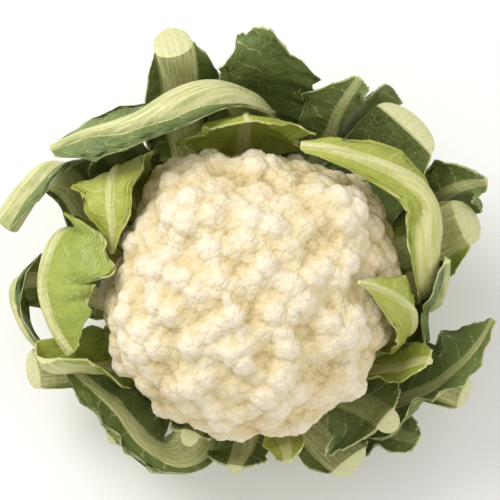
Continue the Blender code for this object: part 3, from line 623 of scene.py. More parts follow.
# From the innermost leaf to the outermost, because each one lies outside those before it
LEAVES = (
    Leaf("leaf_inner_back",
         path=((91, 26, 50), (91, 58, 54), (91, 88, 82), (90, 93, 110), (90, 87, 127), (89, 81, 137)),
         rib=(6, 7, 4, 2, 1.5), depth=(4, 5, 4, 2, 1), left=(0, 2, 30, 44, 36), right=(0, 2, 30, 46, 42),
         aim=(78, 68, 28), wave=(3.5, 3.5, 0.1), lobes=(0.3, 3.4, 0.2), tone="inner"),
    Leaf("leaf_inner_left",
         path=((136, 26, 50), (137, 60, 54), (137, 88, 84), (137, 94, 108), (142, 90, 120), (150, 83, 120),
               (158, 76, 115), (166, 72, 107)),
         rib=(6, 7, 5, 4, 3, 2.5, 2, 1.5), depth=(4, 5, 4, 3, 2, 1.5, 1.5, 1),
         left=(0, 1, 6, 14, 24, 26, 20, 10), right=(0, 1, 8, 14, 18, 18, 14, 8),
         aim=(78, 68, 28, -12, -12), fold=(-6, 4), roll=(8, 16), wave=(2, 3, 0), tone="inner"),
    Leaf("leaf_inner_tip",
         path=((346, 26, 50), (346, 60, 54), (347, 87, 82), (350, 89, 102), (352, 82, 119), (354, 66, 133),
               (354, 57, 138)),
         rib=(6, 6, 4, 3, 2, 1), depth=(4, 4, 4, 3, 2, 1), left=(0, 2, 12, 15, 15, 1),
         right=(0, 2, 12, 15, 15, 1), aim=(78, 68, 8), wave=(1.5, 3, 0), tone="inner"),
    Leaf("leaf_inner_right",
         path=((18, 26, 50), (10, 60, 53), (4, 91, 76), (5, 94, 94), (14, 97, 108), (24, 104, 117),
               (33, 99, 125), (45, 87, 133), (56, 79, 137), (67, 73, 138)),
         rib=(6, 8, 8, 8, 10, 11, 7, 4, 3, 2), depth=(4, 5, 7, 8, 9, 9, 5, 3, 2, 1.5),
         left=(0, 1, 1, 2, 3, 6, 13, 16, 14, 8), right=(0, 1, 1, 2, 3, 5, 11, 12, 9, 6),
         aim=(78, 68, 48, 28, -12, -12), fold=(0, 4), roll=(12, 14), wave=(1.4, 4, 0.2), tone="inner"),
    Leaf("leaf_fold_left",
         path=((168, 26, 49), (165, 60, 53), (160, 90, 74), (162, 101, 94), (170, 105, 101), (180, 106, 98),
               (190, 102, 93), (199, 97, 88)),
         rib=(6, 8, 7, 5, 4, 4, 4, 4), depth=(4, 5, 5, 5, 5, 5, 5, 5), left=(0, 1, 3, 4, 5, 5, 5, 4),
         right=(0, 1, 2, 8, 30, 48, 44, 22), aim=(78, 78, 90), fold=(0, 44), roll=(10, 26),
         wave=(2.5, 3, 0), tone="middle"),
    Leaf("leaf_curl_left",
         path=((204, 26, 49), (205, 60, 53), (206, 82, 64), (203, 88, 78), (199, 92, 92)),
         rib=(6, 6, 4, 3, 2), depth=(4, 5, 4, 3, 2), left=(0, 2, 24, 26, 16), right=(0, 2, 28, 34, 22),
         tone="middle"),
    Leaf("leaf_square",
         path=((316, 26, 49), (324, 60, 53), (335, 89, 70), (337, 97, 88), (338, 104, 101)),
         rib=(6, 6, 4, 3, 2), depth=(4, 5, 4, 3, 2), left=(0, 2, 8, 12, 12), right=(0, 2, 8, 11, 11),
         crown=(0.04, 0.02, 2.5), tone="middle"),
    Leaf("leaf_small_bottom",
         path=((285, 26, 48), (285, 56, 52), (285, 76, 62), (285, 84, 72), (284, 92, 76)),
         rib=(6, 5, 4, 3, 2), depth=(4, 5, 4, 3, 2), left=(0, 2, 12, 16, 12), right=(0, 2, 12, 16, 12),
         lobes=(0.3, 3.5, 0.3), tone="middle"),
    Leaf("leaf_ball_left",
         path=((248, 26, 47), (248, 56, 50), (248, 74, 58), (248, 79, 72)),
         rib=(6, 6, 6, 5), depth=(4, 5, 7, 7), left=(0, 3, 14, 16), right=(0, 3, 22, 28), tone="outer"),
    Leaf("leaf_front_band",
         path=((276, 26, 34), (273, 56, 35), (269, 78, 42), (266, 90, 56)),
         rib=(6, 8, 6, 4), depth=(6, 7, 6, 4), left=(0, 3, 26, 32), right=(0, 3, 24, 28), tone="outer"),
    Leaf("leaf_ball_right",
         path=((306, 26, 40), (314, 60, 43), (320, 90, 54), (319, 100, 71)),
         rib=(6, 8, 7, 7), depth=(5, 6, 8, 9), left=(0, 4, 22, 26), right=(0, 4, 40, 52), tone="outer"),
    Leaf("leaf_wavy_right",
         path=((350, 26, 40), (353, 60, 43), (357, 93, 58), (359, 99, 80), (3, 102, 98), (7, 102, 108)),
         rib=(6, 7, 5, 4, 3, 2), depth=(5, 6, 5, 4, 3, 2), left=(0, 3, 20, 26, 24, 16),
         right=(0, 3, 20, 26, 24, 16), wave=(5, 3, 0.1), tone="outer"),
    Leaf("leaf_channel",
         path=((50, 26, 40), (48, 62, 43), (45, 98, 62), (45, 111, 88), (45, 121, 112)),
         rib=(6, 9, 15, 18, 20), depth=(5, 6, 9, 11, 13), left=(0, 4, 14, 10, 2), right=(0, 4, 14, 12, 3),
         fold=(20, 20), roll=(20, 20), belly=-0.1, tone="outer"),
    Leaf("leaf_back_right",
         path=((80, 26, 40), (72, 60, 43), (64, 98, 66), (63, 110, 98), (62, 118, 115), (61, 127, 123)),
         rib=(6, 8, 5, 3.5, 2.5, 2), depth=(5, 6, 5, 3, 2, 2), left=(0, 4, 24, 30, 28, 20),
         right=(0, 4, 18, 22, 20, 16), wave=(4, 2.5, 0.3), lobes=(0.35, 3.4, 0.5), tone="outer"),
    Leaf("leaf_pale_right",
         path=((18, 26, 40), (18, 62, 43), (17, 98, 58), (18, 112, 78), (18, 124, 95)),
         rib=(6, 9, 12, 13, 13), depth=(5, 6, 10, 11, 13), left=(0, 3, 8, 8, 3), right=(0, 3, 16, 20, 9),
         belly=0.25, tone="middle"),
    Leaf("leaf_dark_curl",
         path=((126, 26, 40), (130, 60, 43), (133, 94, 64), (134, 104, 90), (136, 108, 114)),
         rib=(6, 7, 5, 4, 3), depth=(5, 6, 5, 4, 3), left=(0, 3, 20, 28, 26), right=(0, 3, 20, 28, 24),
         wave=(4, 2, 0.2), tone="outer"),
    Leaf("leaf_cut_left",
         path=((152, 26, 34), (151, 62, 37), (149, 102, 56), (147, 118, 84), (150, 123, 101), (156, 128, 98),
               (164, 134, 90)),
         rib=(6, 9, 11, 10, 9, 8, 9), depth=(5, 6, 9, 9, 9, 9, 10), left=(0, 2, 8, 6, 3, 3, 2),
         right=(0, 2, 14, 22, 20, 14, 3), fold=(0, 30), roll=(10, 30), belly=0.4, tone="outer"),
    Leaf("leaf_sweep_left",
         path=((102, 26, 32), (96, 60, 37), (89, 92, 64), (87, 98, 86), (90, 99, 106), (97, 100, 122),
               (106, 99, 132), (117, 97, 135), (128, 101, 133), (137, 113, 128), (145, 127, 117)),
         rib=(6, 10, 12, 12, 12, 12, 12, 10, 6, 3, 2), depth=(5, 6, 8, 9, 9, 9, 9, 8, 5, 3, 2),
         left=(0, 1, 1, 1, 1, 1, 2, 6, 18, 22, 14), right=(0, 1, 1, 1, 1, 2, 3, 8, 20, 24, 14),
         aim=(78, 68, 38, 8, -12), fold=(0, 0), roll=(14, 14), wave=(3, 4, 0), tone="outer"),
    Leaf("leaf_lower_left",
         path=((240, 26, 34), (246, 58, 33), (248, 82, 38), (243, 93, 46), (233, 94, 54), (219, 92, 61),
               (206, 99, 67), (197, 107, 69)),
         rib=(6, 11, 12, 11, 8, 5, 3, 2), depth=(5, 6, 8, 7, 5, 4, 3, 2),
         left=(0, 1, 3, 8, 18, 22, 18, 8), right=(0, 1, 1, 5, 20, 26, 20, 10),
         aim=(78, 80, 110, 140, 150), fold=(0, 0), roll=(12, 12), wave=(2.5, 3.5, 0.4), tone="outer"),
    Leaf("leaf_long_left",
         path=((180, 26, 34), (177, 62, 37), (174, 102, 51), (174, 118, 69), (177, 125, 79), (182, 125, 79),
               (189, 120, 76), (196, 112, 71)),
         rib=(6, 8, 7, 5, 4, 3.5, 3, 2.5), depth=(5, 6, 6, 5, 4, 4, 3, 2), left=(0, 2, 8, 10, 12, 12, 10, 5),
         right=(0, 2, 8, 12, 14, 14, 12, 6), wave=(2.5, 3.5, 0.2), tone="outer"),
    Leaf("leaf_big_back",
         path=((70, 26, 24), (78, 62, 27), (85, 104, 46), (86, 119, 80), (86, 124, 106), (86, 131, 122),
               (87, 138, 130)),
         rib=(6, 9, 6, 4, 3, 2.5, 2), depth=(6, 7, 6, 4, 3, 2, 2), left=(0, 4, 26, 36, 38, 34, 24),
         right=(0, 4, 28, 38, 40, 38, 28), wave=(3, 2.5, 0.1), lobes=(0.2, 3.4, 0.1),
         crown=(0.1, 0.035, 2.0), tone="outer"),
    Leaf("leaf_round_cut",
         path=((112, 26, 24), (111, 62, 27), (109, 102, 48), (108, 120, 82), (107, 128, 106),
               (107, 134, 126)),
         rib=(6, 10, 11, 11, 10.5, 10.5), depth=(6, 7, 10, 11, 12, 13), left=(0, 3, 14, 18, 16, 4),
         right=(0, 3, 16, 20, 18, 4), belly=0.5, tone="outer"),
    Leaf("leaf_lobed_right",
         path=((30, 26, 24), (30, 62, 28), (29, 104, 48), (28, 122, 78), (26, 134, 98), (24, 143, 105)),
         rib=(6, 9, 6, 4, 3, 2.5), depth=(6, 7, 5, 4, 3, 2), left=(0, 4, 20, 28, 30, 24),
         right=(0, 4, 18, 20, 20, 16), wave=(4.5, 2.5, 0.4), lobes=(0.4, 3.4, 0.2), tone="outer"),
    Leaf("leaf_spread_right",
         path=((324, 26, 25), (324, 60, 28), (326, 92, 40), (333, 108, 54), (340, 119, 66), (348, 129, 74),
               (355, 136, 78)),
         rib=(6, 9, 8, 5, 4, 3, 2), depth=(6, 7, 6, 5, 4, 3, 2), left=(0, 3, 16, 30, 38, 36, 24),
         right=(0, 3, 14, 22, 26, 26, 18), aim=(78, 80, 110, 130), wave=(4, 2.5, 0), lobes=(0.35, 3.4, 0.4),
         tone="outer"),
    Leaf("leaf_stub_left",
         path=((196, 26, 25), (197, 62, 27), (198, 98, 40), (197, 123, 58)),
         rib=(6, 10, 10.5, 11), depth=(6, 7, 9, 10), left=(0, 2, 4, 2), right=(0, 2, 5, 2), belly=0.3,
         tone="outer"),
    Leaf("leaf_stub_right",
         path=((353, 26, 24), (347, 62, 24), (341, 100, 30), (339, 132, 43)),
         rib=(6, 9, 9, 9), depth=(6, 7, 9, 10), left=(0, 2, 6, 3), right=(0, 2, 6, 3), belly=0.4,
         tone="outer"),
    Leaf("leaf_stub_front",
         path=((295, 26, 25), (297, 58, 25), (302, 84, 32), (304, 103, 44)),
         rib=(6, 10, 12, 12), depth=(6, 7, 9, 10), left=(0, 2, 12, 8), right=(0, 2, 12, 8), belly=0.2,
         tone="outer"),
    Leaf("leaf_dark_right",
         path=((311, 26, 16), (312, 60, 18), (318, 94, 27), (323, 122, 38)),
         rib=(6, 7, 5, 3), depth=(5, 6, 5, 3), left=(0, 3, 18, 18), right=(0, 3, 14, 16), aim=(78, 90, 110),
         wave=(3.5, 2, 0.1), tone="outer"),
    Leaf("leaf_dark_left",
         path=((224, 26, 24), (225, 60, 24), (225, 92, 32), (224, 105, 43)),
         rib=(6, 7, 5, 3), depth=(6, 6, 5, 3), left=(0, 3, 20, 20), right=(0, 3, 20, 20),
         wave=(3.5, 2, 0.3), tone="outer"),
)

print(len(LEAVES), "leaves, from", LEAVES[0].name, "to", LEAVES[-1].name)

# %% Sizes that keep the leaves apart
STALK_CUT_RADIUS = 23.0 * MM
STALK_RADIUS = 25.0 * MM
STALK_TOP_RADIUS = 27.0 * MM
BLADE_THICKNESS = 1.2 * MM
FIT_GAP = 0.8 * MM
LEAF_GAP = 1.2 * MM
HEAD_GAP = 1.6 * MM
BLADE_START = 64.0 * MM
BLADE_FULL = 90.0 * MM
HEART_HEIGHT = 78.0 * MM
# Which rows and columns of the coarse grid the CAD solid keeps, so that it has few faces
KEPT_ROW_LENGTH = 16.0 * MM
KEPT_ROWS_LEAST = 6
KEPT_ROWS_MOST = 14
KEPT_WING_CELLS = (0, 6, 12, 18)
KEPT_NARROW_CELLS = (0, 18)
KEPT_RIB_CELLS = (2, 6, 10)
NARROW_WING = 9.0
RIB_BLEND = 8.0 * MM
TILT_CELLS = 150
AZIMUTH_CELLS = 300
SPREAD_CELLS = 2
PUSH_SOFTNESS = 1.0 * MM
SETTLE_TURNS = 25
print("blades are", BLADE_THICKNESS / MM, "mm thick")

# %% How far out the pieces reach
class Reach:
    """How far out the pieces made so far come, in each direction from the heart of the plant."""

    def __init__(self):
        self.map = np.zeros((TILT_CELLS, AZIMUTH_CELLS))

    @staticmethod
    def polar(points):
        away = points - np.array([0.0, 0.0, HEART_HEIGHT])
        far = np.linalg.norm(away, axis=-1)
        tilt = np.arccos(np.clip(away[..., 2] / np.maximum(far, 1e-9), -1.0, 1.0)) / math.pi * TILT_CELLS
        turn = np.arctan2(away[..., 1], away[..., 0]) / (2.0 * math.pi) % 1.0 * AZIMUTH_CELLS
        return away, far, tilt, turn

    def add(self, points):
        _, far, tilt, turn = self.polar(points)
        rows = np.clip(tilt.astype(int), 0, TILT_CELLS - 1)
        columns = turn.astype(int) % AZIMUTH_CELLS
        np.maximum.at(self.map, (rows.ravel(), columns.ravel()), far.ravel())

    def spread(self):
        """The map with each high place widened, then softened, so that nothing slips past its edge."""
        wide = self.map.copy()
        for _ in range(SPREAD_CELLS):
            sides = np.maximum(np.roll(wide, 1, 1), np.roll(wide, -1, 1))
            wide = np.maximum(wide, sides)
            ends = np.pad(wide, ((1, 1), (0, 0)), mode="edge")
            wide = np.maximum(wide, np.maximum(ends[:-2], ends[2:]))
        for _ in range(SPREAD_CELLS):
            wide = (np.roll(wide, 1, 1) + wide + np.roll(wide, -1, 1)) / 3.0
            ends = np.pad(wide, ((1, 1), (0, 0)), mode="edge")
            wide = (ends[:-2] + wide + ends[2:]) / 3.0
        return wide

    def least(self, tilt, turn, gap):
        """How far out a point has to be, at least, to clear every piece made so far."""
        wide = self.spread()
        t = np.clip(tilt - 0.5, 0.0, TILT_CELLS - 1.001)
        a = (turn - 0.5) % AZIMUTH_CELLS
        i, j = t.astype(int), a.astype(int) % AZIMUTH_CELLS
        ft, fa = t - i, a - np.floor(a)
        k = (j + 1) % AZIMUTH_CELLS
        low = wide[i, j] * (1 - fa) + wide[i, k] * fa
        high = wide[i + 1, j] * (1 - fa) + wide[i + 1, k] * fa
        least = low * (1 - ft) + high * ft
        return np.where(least > 0.0, least + gap, 0.0)

    def shortfall(self, points, gap):
        _, far, tilt, turn = self.polar(points)
        return np.maximum(self.least(tilt, turn, gap) - far, 0.0)

    def push_out(self, points, gap):
        """The points, moved out from the heart to where they clear every piece made so far."""
        away, far, tilt, turn = self.polar(points)
        least = self.least(tilt, turn, gap)
        over = (far - least) / PUSH_SOFTNESS
        moved = least + PUSH_SOFTNESS * np.where(over > 30.0, over, np.log1p(np.exp(np.minimum(over, 30.0))))
        return away * (moved / far)[..., None] + np.array([0.0, 0.0, HEART_HEIGHT])


reach_map = Reach()
print("the map has", reach_map.map.size, "directions")

# %% [markdown]
# ## From a rib to a sheet
#
# The rib is a smooth curve through its stations. Across it stands a row of points for the rib and both
# wings, bent and waved. The fine grid gets what the solids are too coarse for: small teeth along the
# margin, 6 mm apart, wider notches, a rounded end, and a ruffle that grows towards the margin.

# %% The rib and the wings
TOOTH_LENGTH = 6.0 * MM
TOOTH_DEPTH = 1.8 * MM
NOTCH_LENGTH = 21.0 * MM
NOTCH_SHARE = 0.21
ROUNDED_END = 0.16
RUFFLE_LENGTH = 15.0 * MM
RUFFLE_HEIGHT = 2.1 * MM


class Grid(NamedTuple):
    """How finely a leaf is worked out, and whether its margin has teeth and ruffles."""

    rows: int
    wing: int
    rib: int
    fine: bool


COARSE = Grid(65, 18, 12, False)


def stalk_radius(height):
    """The stalk's radius at a height: a bevelled cut below, a slow flare above."""
    heights = (0.0, 2.5 * MM, 20.0 * MM, STALK_HEIGHT)
    return np.interp(height, heights, (STALK_CUT_RADIUS, STALK_RADIUS, STALK_RADIUS, STALK_TOP_RADIUS))


def along(values, u):
    """Values spread evenly from 0 to 1, joined smoothly, at each u."""
    values = np.atleast_1d(np.asarray(values, float))
    if len(values) == 1:
        return np.full(len(u), values[0])
    x = u * (len(values) - 1)
    i = np.clip(np.floor(x).astype(int), 0, len(values) - 2)
    t = x - i
    t = t * t * (3.0 - 2.0 * t)
    return values[i] * (1.0 - t) + values[i + 1] * t


def rib_line(path, rows):
    """Points and directions at even steps along a smooth curve through the path's stations."""
    stations = np.array(path, float)
    turns = np.radians(stations[:, 0])
    points = np.stack(
        [stations[:, 1] * np.cos(turns), stations[:, 1] * np.sin(turns), stations[:, 2]], 1
    ) * MM
    ends = np.concatenate([[2 * points[0] - points[1]], points, [2 * points[-1] - points[-2]]])
    pieces = []
    t = np.linspace(0.0, 1.0, 40, endpoint=False)[:, None]
    for a, b, c, d in zip(ends, ends[1:], ends[2:], ends[3:]):
        pieces.append(
            0.5 * (2 * b + (c - a) * t + (2 * a - 5 * b + 4 * c - d) * t**2 + (3 * b - a - 3 * c + d) * t**3)
        )
    curve = np.concatenate([*pieces, points[-1:]])
    length = np.concatenate([[0.0], np.cumsum(np.linalg.norm(np.diff(curve, axis=0), axis=1))])
    steps = np.linspace(0.0, length[-1], rows)
    line = np.stack([np.interp(steps, length, curve[:, k]) for k in range(3)], 1)
    return line, unit(np.gradient(line, axis=0)), length[-1]


def leaf_sheet(leaf, reach, grid):
    """The leaf as a sheet of points, how far its rib bulges, and how far it goes along and across."""
    u = np.linspace(0.0, 1.0, grid.rows)
    line, ahead, length = rib_line(leaf.path, grid.rows)
    aim = np.zeros_like(line)
    aim[:, 2] = along(leaf.aim, u) * MM
    inward = aim - line
    inward = unit(inward - (inward * ahead).sum(1, keepdims=True) * ahead)
    across = np.cross(inward, ahead)
    rib = along(leaf.rib, u) * MM
    depth = along(leaf.depth, u) * MM
    out = np.maximum.accumulate(np.hypot(line[:, 0], line[:, 1]))
    opened = np.clip((out - BLADE_START) / (BLADE_FULL - BLADE_START), 0.0, 1.0)
    frame_of_rib = (line, inward, across, rib, opened, length)
    wings = []
    for side, widths, fold, roll in (
        (-1, leaf.right, leaf.fold[1], leaf.roll[1]),
        (1, leaf.left, leaf.fold[0], leaf.roll[0]),
    ):
        wings.append(wing_columns(leaf, side, u, frame_of_rib, (widths, fold, roll), grid))
    middle, stands, places = [], [], []
    for k in range(1, grid.rib):
        place = -math.cos(math.pi * k / grid.rib)
        middle.append(line + across * (place * rib)[:, None])
        stands.append(depth * math.sqrt(1.0 - place**2))
        places.append(rib * place)
    sheet = np.stack([*wings[0][0][::-1], *middle, *wings[1][0]], 1)
    aside = np.stack([*[-w for w in wings[0][1][::-1]], *places, *wings[1][1]], 1)
    flat = np.zeros((grid.rows, grid.wing + 1))
    bulge = np.concatenate([flat, np.array(stands).T, flat], 1)
    sheet = reach.push_out(sheet, LEAF_GAP + max(leaf.belly, 0.0) * bulge)
    return sheet, bulge, (u * length)[:, None] + np.zeros_like(bulge), aside


def wing_columns(leaf, side, u, frame_of_rib, shape, grid):
    """The columns of one wing, from the rib to the margin, and how far each lies from the rib's middle."""
    line, inward, across, rib, opened, length = frame_of_rib
    widths, fold, roll = shape
    width = np.maximum(along(widths, u) * opened * MM, 0.8 * MM)
    share, count, phase = leaf.lobes
    broad = np.clip(width / (16.0 * MM) - 0.3, 0.0, 1.0)
    width = width * (1.0 - share * broad * (0.5 + 0.5 * np.sin(math.tau * (count * u + phase + 0.31 * side))))
    ruffle = 0.0 * u
    if grid.fine:
        tooth = np.abs(np.sin(math.pi * (u * length / TOOTH_LENGTH + 0.6 * np.sin(7.0 * u + side)))) ** 0.7
        notch = np.sin(math.tau * (u * length / NOTCH_LENGTH + 0.4 * np.sin(5.0 * u + 3.0 * side) + phase))
        notched = width * (1.0 - NOTCH_SHARE * broad * (0.5 + 0.5 * notch))
        width = notched - TOOTH_DEPTH * broad * (1.0 - tooth)
        turns = u * length / RUFFLE_LENGTH + 0.35 * np.sin(9.0 * u + 2.0 * side + phase)
        ruffle = RUFFLE_HEIGHT * broad * np.sin(math.tau * turns)
    height, count, phase = leaf.wave
    start, turn = math.radians(fold), math.radians(roll) + 1e-6
    edge = rib[:, None] * across * side + line
    columns, far = [], []
    for q in np.linspace(0.0, 1.0, grid.wing + 1):
        lean = start + turn * q
        out = width / turn * (math.sin(lean) - math.sin(start))
        up = width / turn * (math.cos(start) - math.cos(lean))
        swing = np.sin(math.tau * (count * u + phase + 0.37 * side))
        ripple = height * MM * q**1.6 * np.minimum(1.0, width / (12.0 * MM)) * swing + ruffle * q**2.2
        normal = inward * math.cos(lean) - across * side * math.sin(lean)
        column = edge + across * (side * out)[:, None] + inward * up[:, None] + normal * ripple[:, None]
        less, wobble, turns = leaf.crown
        end = 1.0 - less * q**2 + wobble * q * math.sin(math.tau * turns * q + 2.0 * side)
        if grid.fine:
            end -= TOOTH_DEPTH / length * (1.0 - abs(math.sin(7.0 * q * math.pi))) * min(1.0, 2.0 * q)
            end -= ROUNDED_END * q**4
        at = u * end
        columns.append(np.stack([np.interp(at, u, column[:, k]) for k in range(3)], 1))
        far.append(rib + width * q)
    return columns, far


print("teeth are", TOOTH_LENGTH / MM, "mm long")

# %% The coarse solids inside the fine leaves
def off_stalk(points):
    """The points, kept clear of the stalk's side."""
    out = np.hypot(points[..., 0], points[..., 1])
    least = stalk_radius(points[..., 2]) + FIT_GAP
    beside = points[..., 2] < STALK_HEIGHT + FIT_GAP
    grow = np.where(beside, np.maximum(1.0, least / np.maximum(out, 1e-9)), 1.0)
    return points * np.stack([grow, grow, np.ones_like(grow)], -1)


def face_corners(rows, columns):
    """The corners of the two triangles of every cell of a grid, all split the same way."""
    i, j = np.meshgrid(np.arange(rows - 1), np.arange(columns - 1), indexing="ij")
    a = (i * columns + j).ravel()
    b, c, d = a + 1, a + columns, a + columns + 1
    return np.concatenate([np.stack([a, d, c], 1), np.stack([a, b, d], 1)])


def face_weights(steps):
    """Weights of a triangle's three corners at points spread over it."""
    return np.array(
        [(p, q, steps - p - q) for p in range(steps + 1) for q in range(steps + 1 - p)], float
    ) / steps


def settle(front, reach):
    """The kept corners, moved out until the flat faces between them clear every piece inside."""
    rows, columns = front.shape[:2]
    points = front.reshape(-1, 3).copy()
    corners = face_corners(rows, columns)
    weights = face_weights(6)
    heart = np.array([0.0, 0.0, HEART_HEIGHT])
    for _ in range(SETTLE_TURNS):
        spots = np.einsum("sk,fkx->fsx", weights, points[corners])
        short = reach.shortfall(spots, LEAF_GAP * 0.75)
        if short.max() < 0.02 * MM:
            break
        share = weights / (weights**2).sum(1, keepdims=True)
        push = np.zeros(len(points))
        np.maximum.at(push, corners[:, None, :].repeat(len(weights), 1), short[..., None] * share[None])
        points += unit(points - heart) * push[:, None]
    return off_stalk(points.reshape(front.shape))


def outward(sheet, edges):
    """The direction that points away from the head at each point of a leaf's grid, even across the rib."""
    own = unit(np.cross(np.gradient(sheet, axis=1), np.gradient(sheet, axis=0)))
    right, left = edges
    columns = np.arange(sheet.shape[1])
    rib = unit(np.cross(sheet[:, left] - sheet[:, right], np.gradient(sheet[:, (left + right) // 2], axis=0)))
    rib = unit(rib + np.concatenate([rib[:1], rib[:-1]]) + np.concatenate([rib[1:], rib[-1:]]))
    nearest = np.clip(columns, right, left)
    away = np.linalg.norm(sheet - sheet[:, nearest], axis=2)
    share = np.clip(away / RIB_BLEND, 0.0, 1.0)[..., None]
    return unit(own * share + rib[:, None] * (1.0 - share))


def solid_moves(leaf, reach):
    """The CAD solid's two faces, and how far settling moved its corners from the plain sheet."""
    sheet, bulge, _, _ = leaf_sheet(leaf, reach, COARSE)
    length = np.linalg.norm(np.diff(sheet[:, COARSE.wing + COARSE.rib // 2], axis=0), axis=1).sum()
    count = int(np.clip(round(length / KEPT_ROW_LENGTH) + 1, KEPT_ROWS_LEAST, KEPT_ROWS_MOST))
    rows = np.round(np.linspace(0, COARSE.rows - 1, count)).astype(int)
    last = 2 * COARSE.wing + COARSE.rib
    wings = [KEPT_WING_CELLS if max(w) > NARROW_WING else KEPT_NARROW_CELLS for w in (leaf.right, leaf.left)]
    columns = (
        list(wings[0]) + [COARSE.wing + k for k in KEPT_RIB_CELLS] + [last - k for k in wings[1][::-1]]
    )
    sheet, bulge = sheet[np.ix_(rows, columns)], bulge[np.ix_(rows, columns)][..., None]
    edges = (len(wings[0]) - 1, len(wings[0]) + len(KEPT_RIB_CELLS))
    inside = sheet - outward(sheet, edges) * leaf.belly * bulge
    front = settle(inside, reach)
    moved = front - inside
    sheet = sheet + moved
    back = off_stalk(sheet + outward(sheet, edges) * (BLADE_THICKNESS + bulge))
    return front, back, moved, rows, columns


def spread_moves(moved, rows, columns, grid):
    """The moves of the coarse corners, drawn out evenly over a fine grid."""
    at_rows = np.linspace(0.0, COARSE.rows - 1.0, grid.rows)
    wing = np.linspace(0.0, COARSE.wing, grid.wing + 1)
    rib = COARSE.wing + np.arange(1, grid.rib) / grid.rib * COARSE.rib
    at_columns = np.concatenate([wing, rib, COARSE.wing + COARSE.rib + wing])
    down = np.stack(
        [[np.interp(at_rows, rows, moved[:, j, k]) for j in range(len(columns))] for k in range(3)], -1
    )
    return np.stack(
        [[np.interp(at_columns, columns, down[:, i, k]) for i in range(grid.rows)] for k in range(3)], -1
    )


print("the coarse grid is", COARSE.rows, "by", 2 * COARSE.wing + COARSE.rib + 1)

# %% [markdown]
# ## A leaf with thickness
#
# The two faces of a leaf are joined round the rim. Where a rib was cut, the rim is as thick as a finger,
# so it has a few rows of points and swells a little, as fresh cut flesh does. Every point keeps what the
# materials ask for: its place along and across the leaf, and whether it is rib, margin or cut flesh.

# %% Mesh a leaf
BLADE_CELL = 1.4 * MM
RIB_CELLS = 14
RIM_LAYERS = 6
MARGIN_THICKNESS = 0.55 * MM
PALE_MARGIN = 0.8 * MM
RIB_FADE = 1.3 * MM
CUT_SWELL = 0.07
THICK_CUT = 2.5 * MM


def smoothed(grid, times):
    """A grid of vectors, each one averaged with its neighbours along and then across."""
    for _ in range(times):
        before, after = np.concatenate([grid[:1], grid[:-1]]), np.concatenate([grid[1:], grid[-1:]])
        grid = (before + grid + after) / 3.0
        before = np.concatenate([grid[:, :1], grid[:, :-1]], 1)
        after = np.concatenate([grid[:, 1:], grid[:, -1:]], 1)
        grid = (before + grid + after) / 3.0
    return grid


def fine_grid(leaf):
    """Cells of about the same size on every leaf."""
    length = rib_line(leaf.path, COARSE.rows)[2]
    widest = max(*leaf.left, *leaf.right) * MM
    return Grid(int(length / BLADE_CELL) + 2, max(4, int(widest / BLADE_CELL)), RIB_CELLS, True)


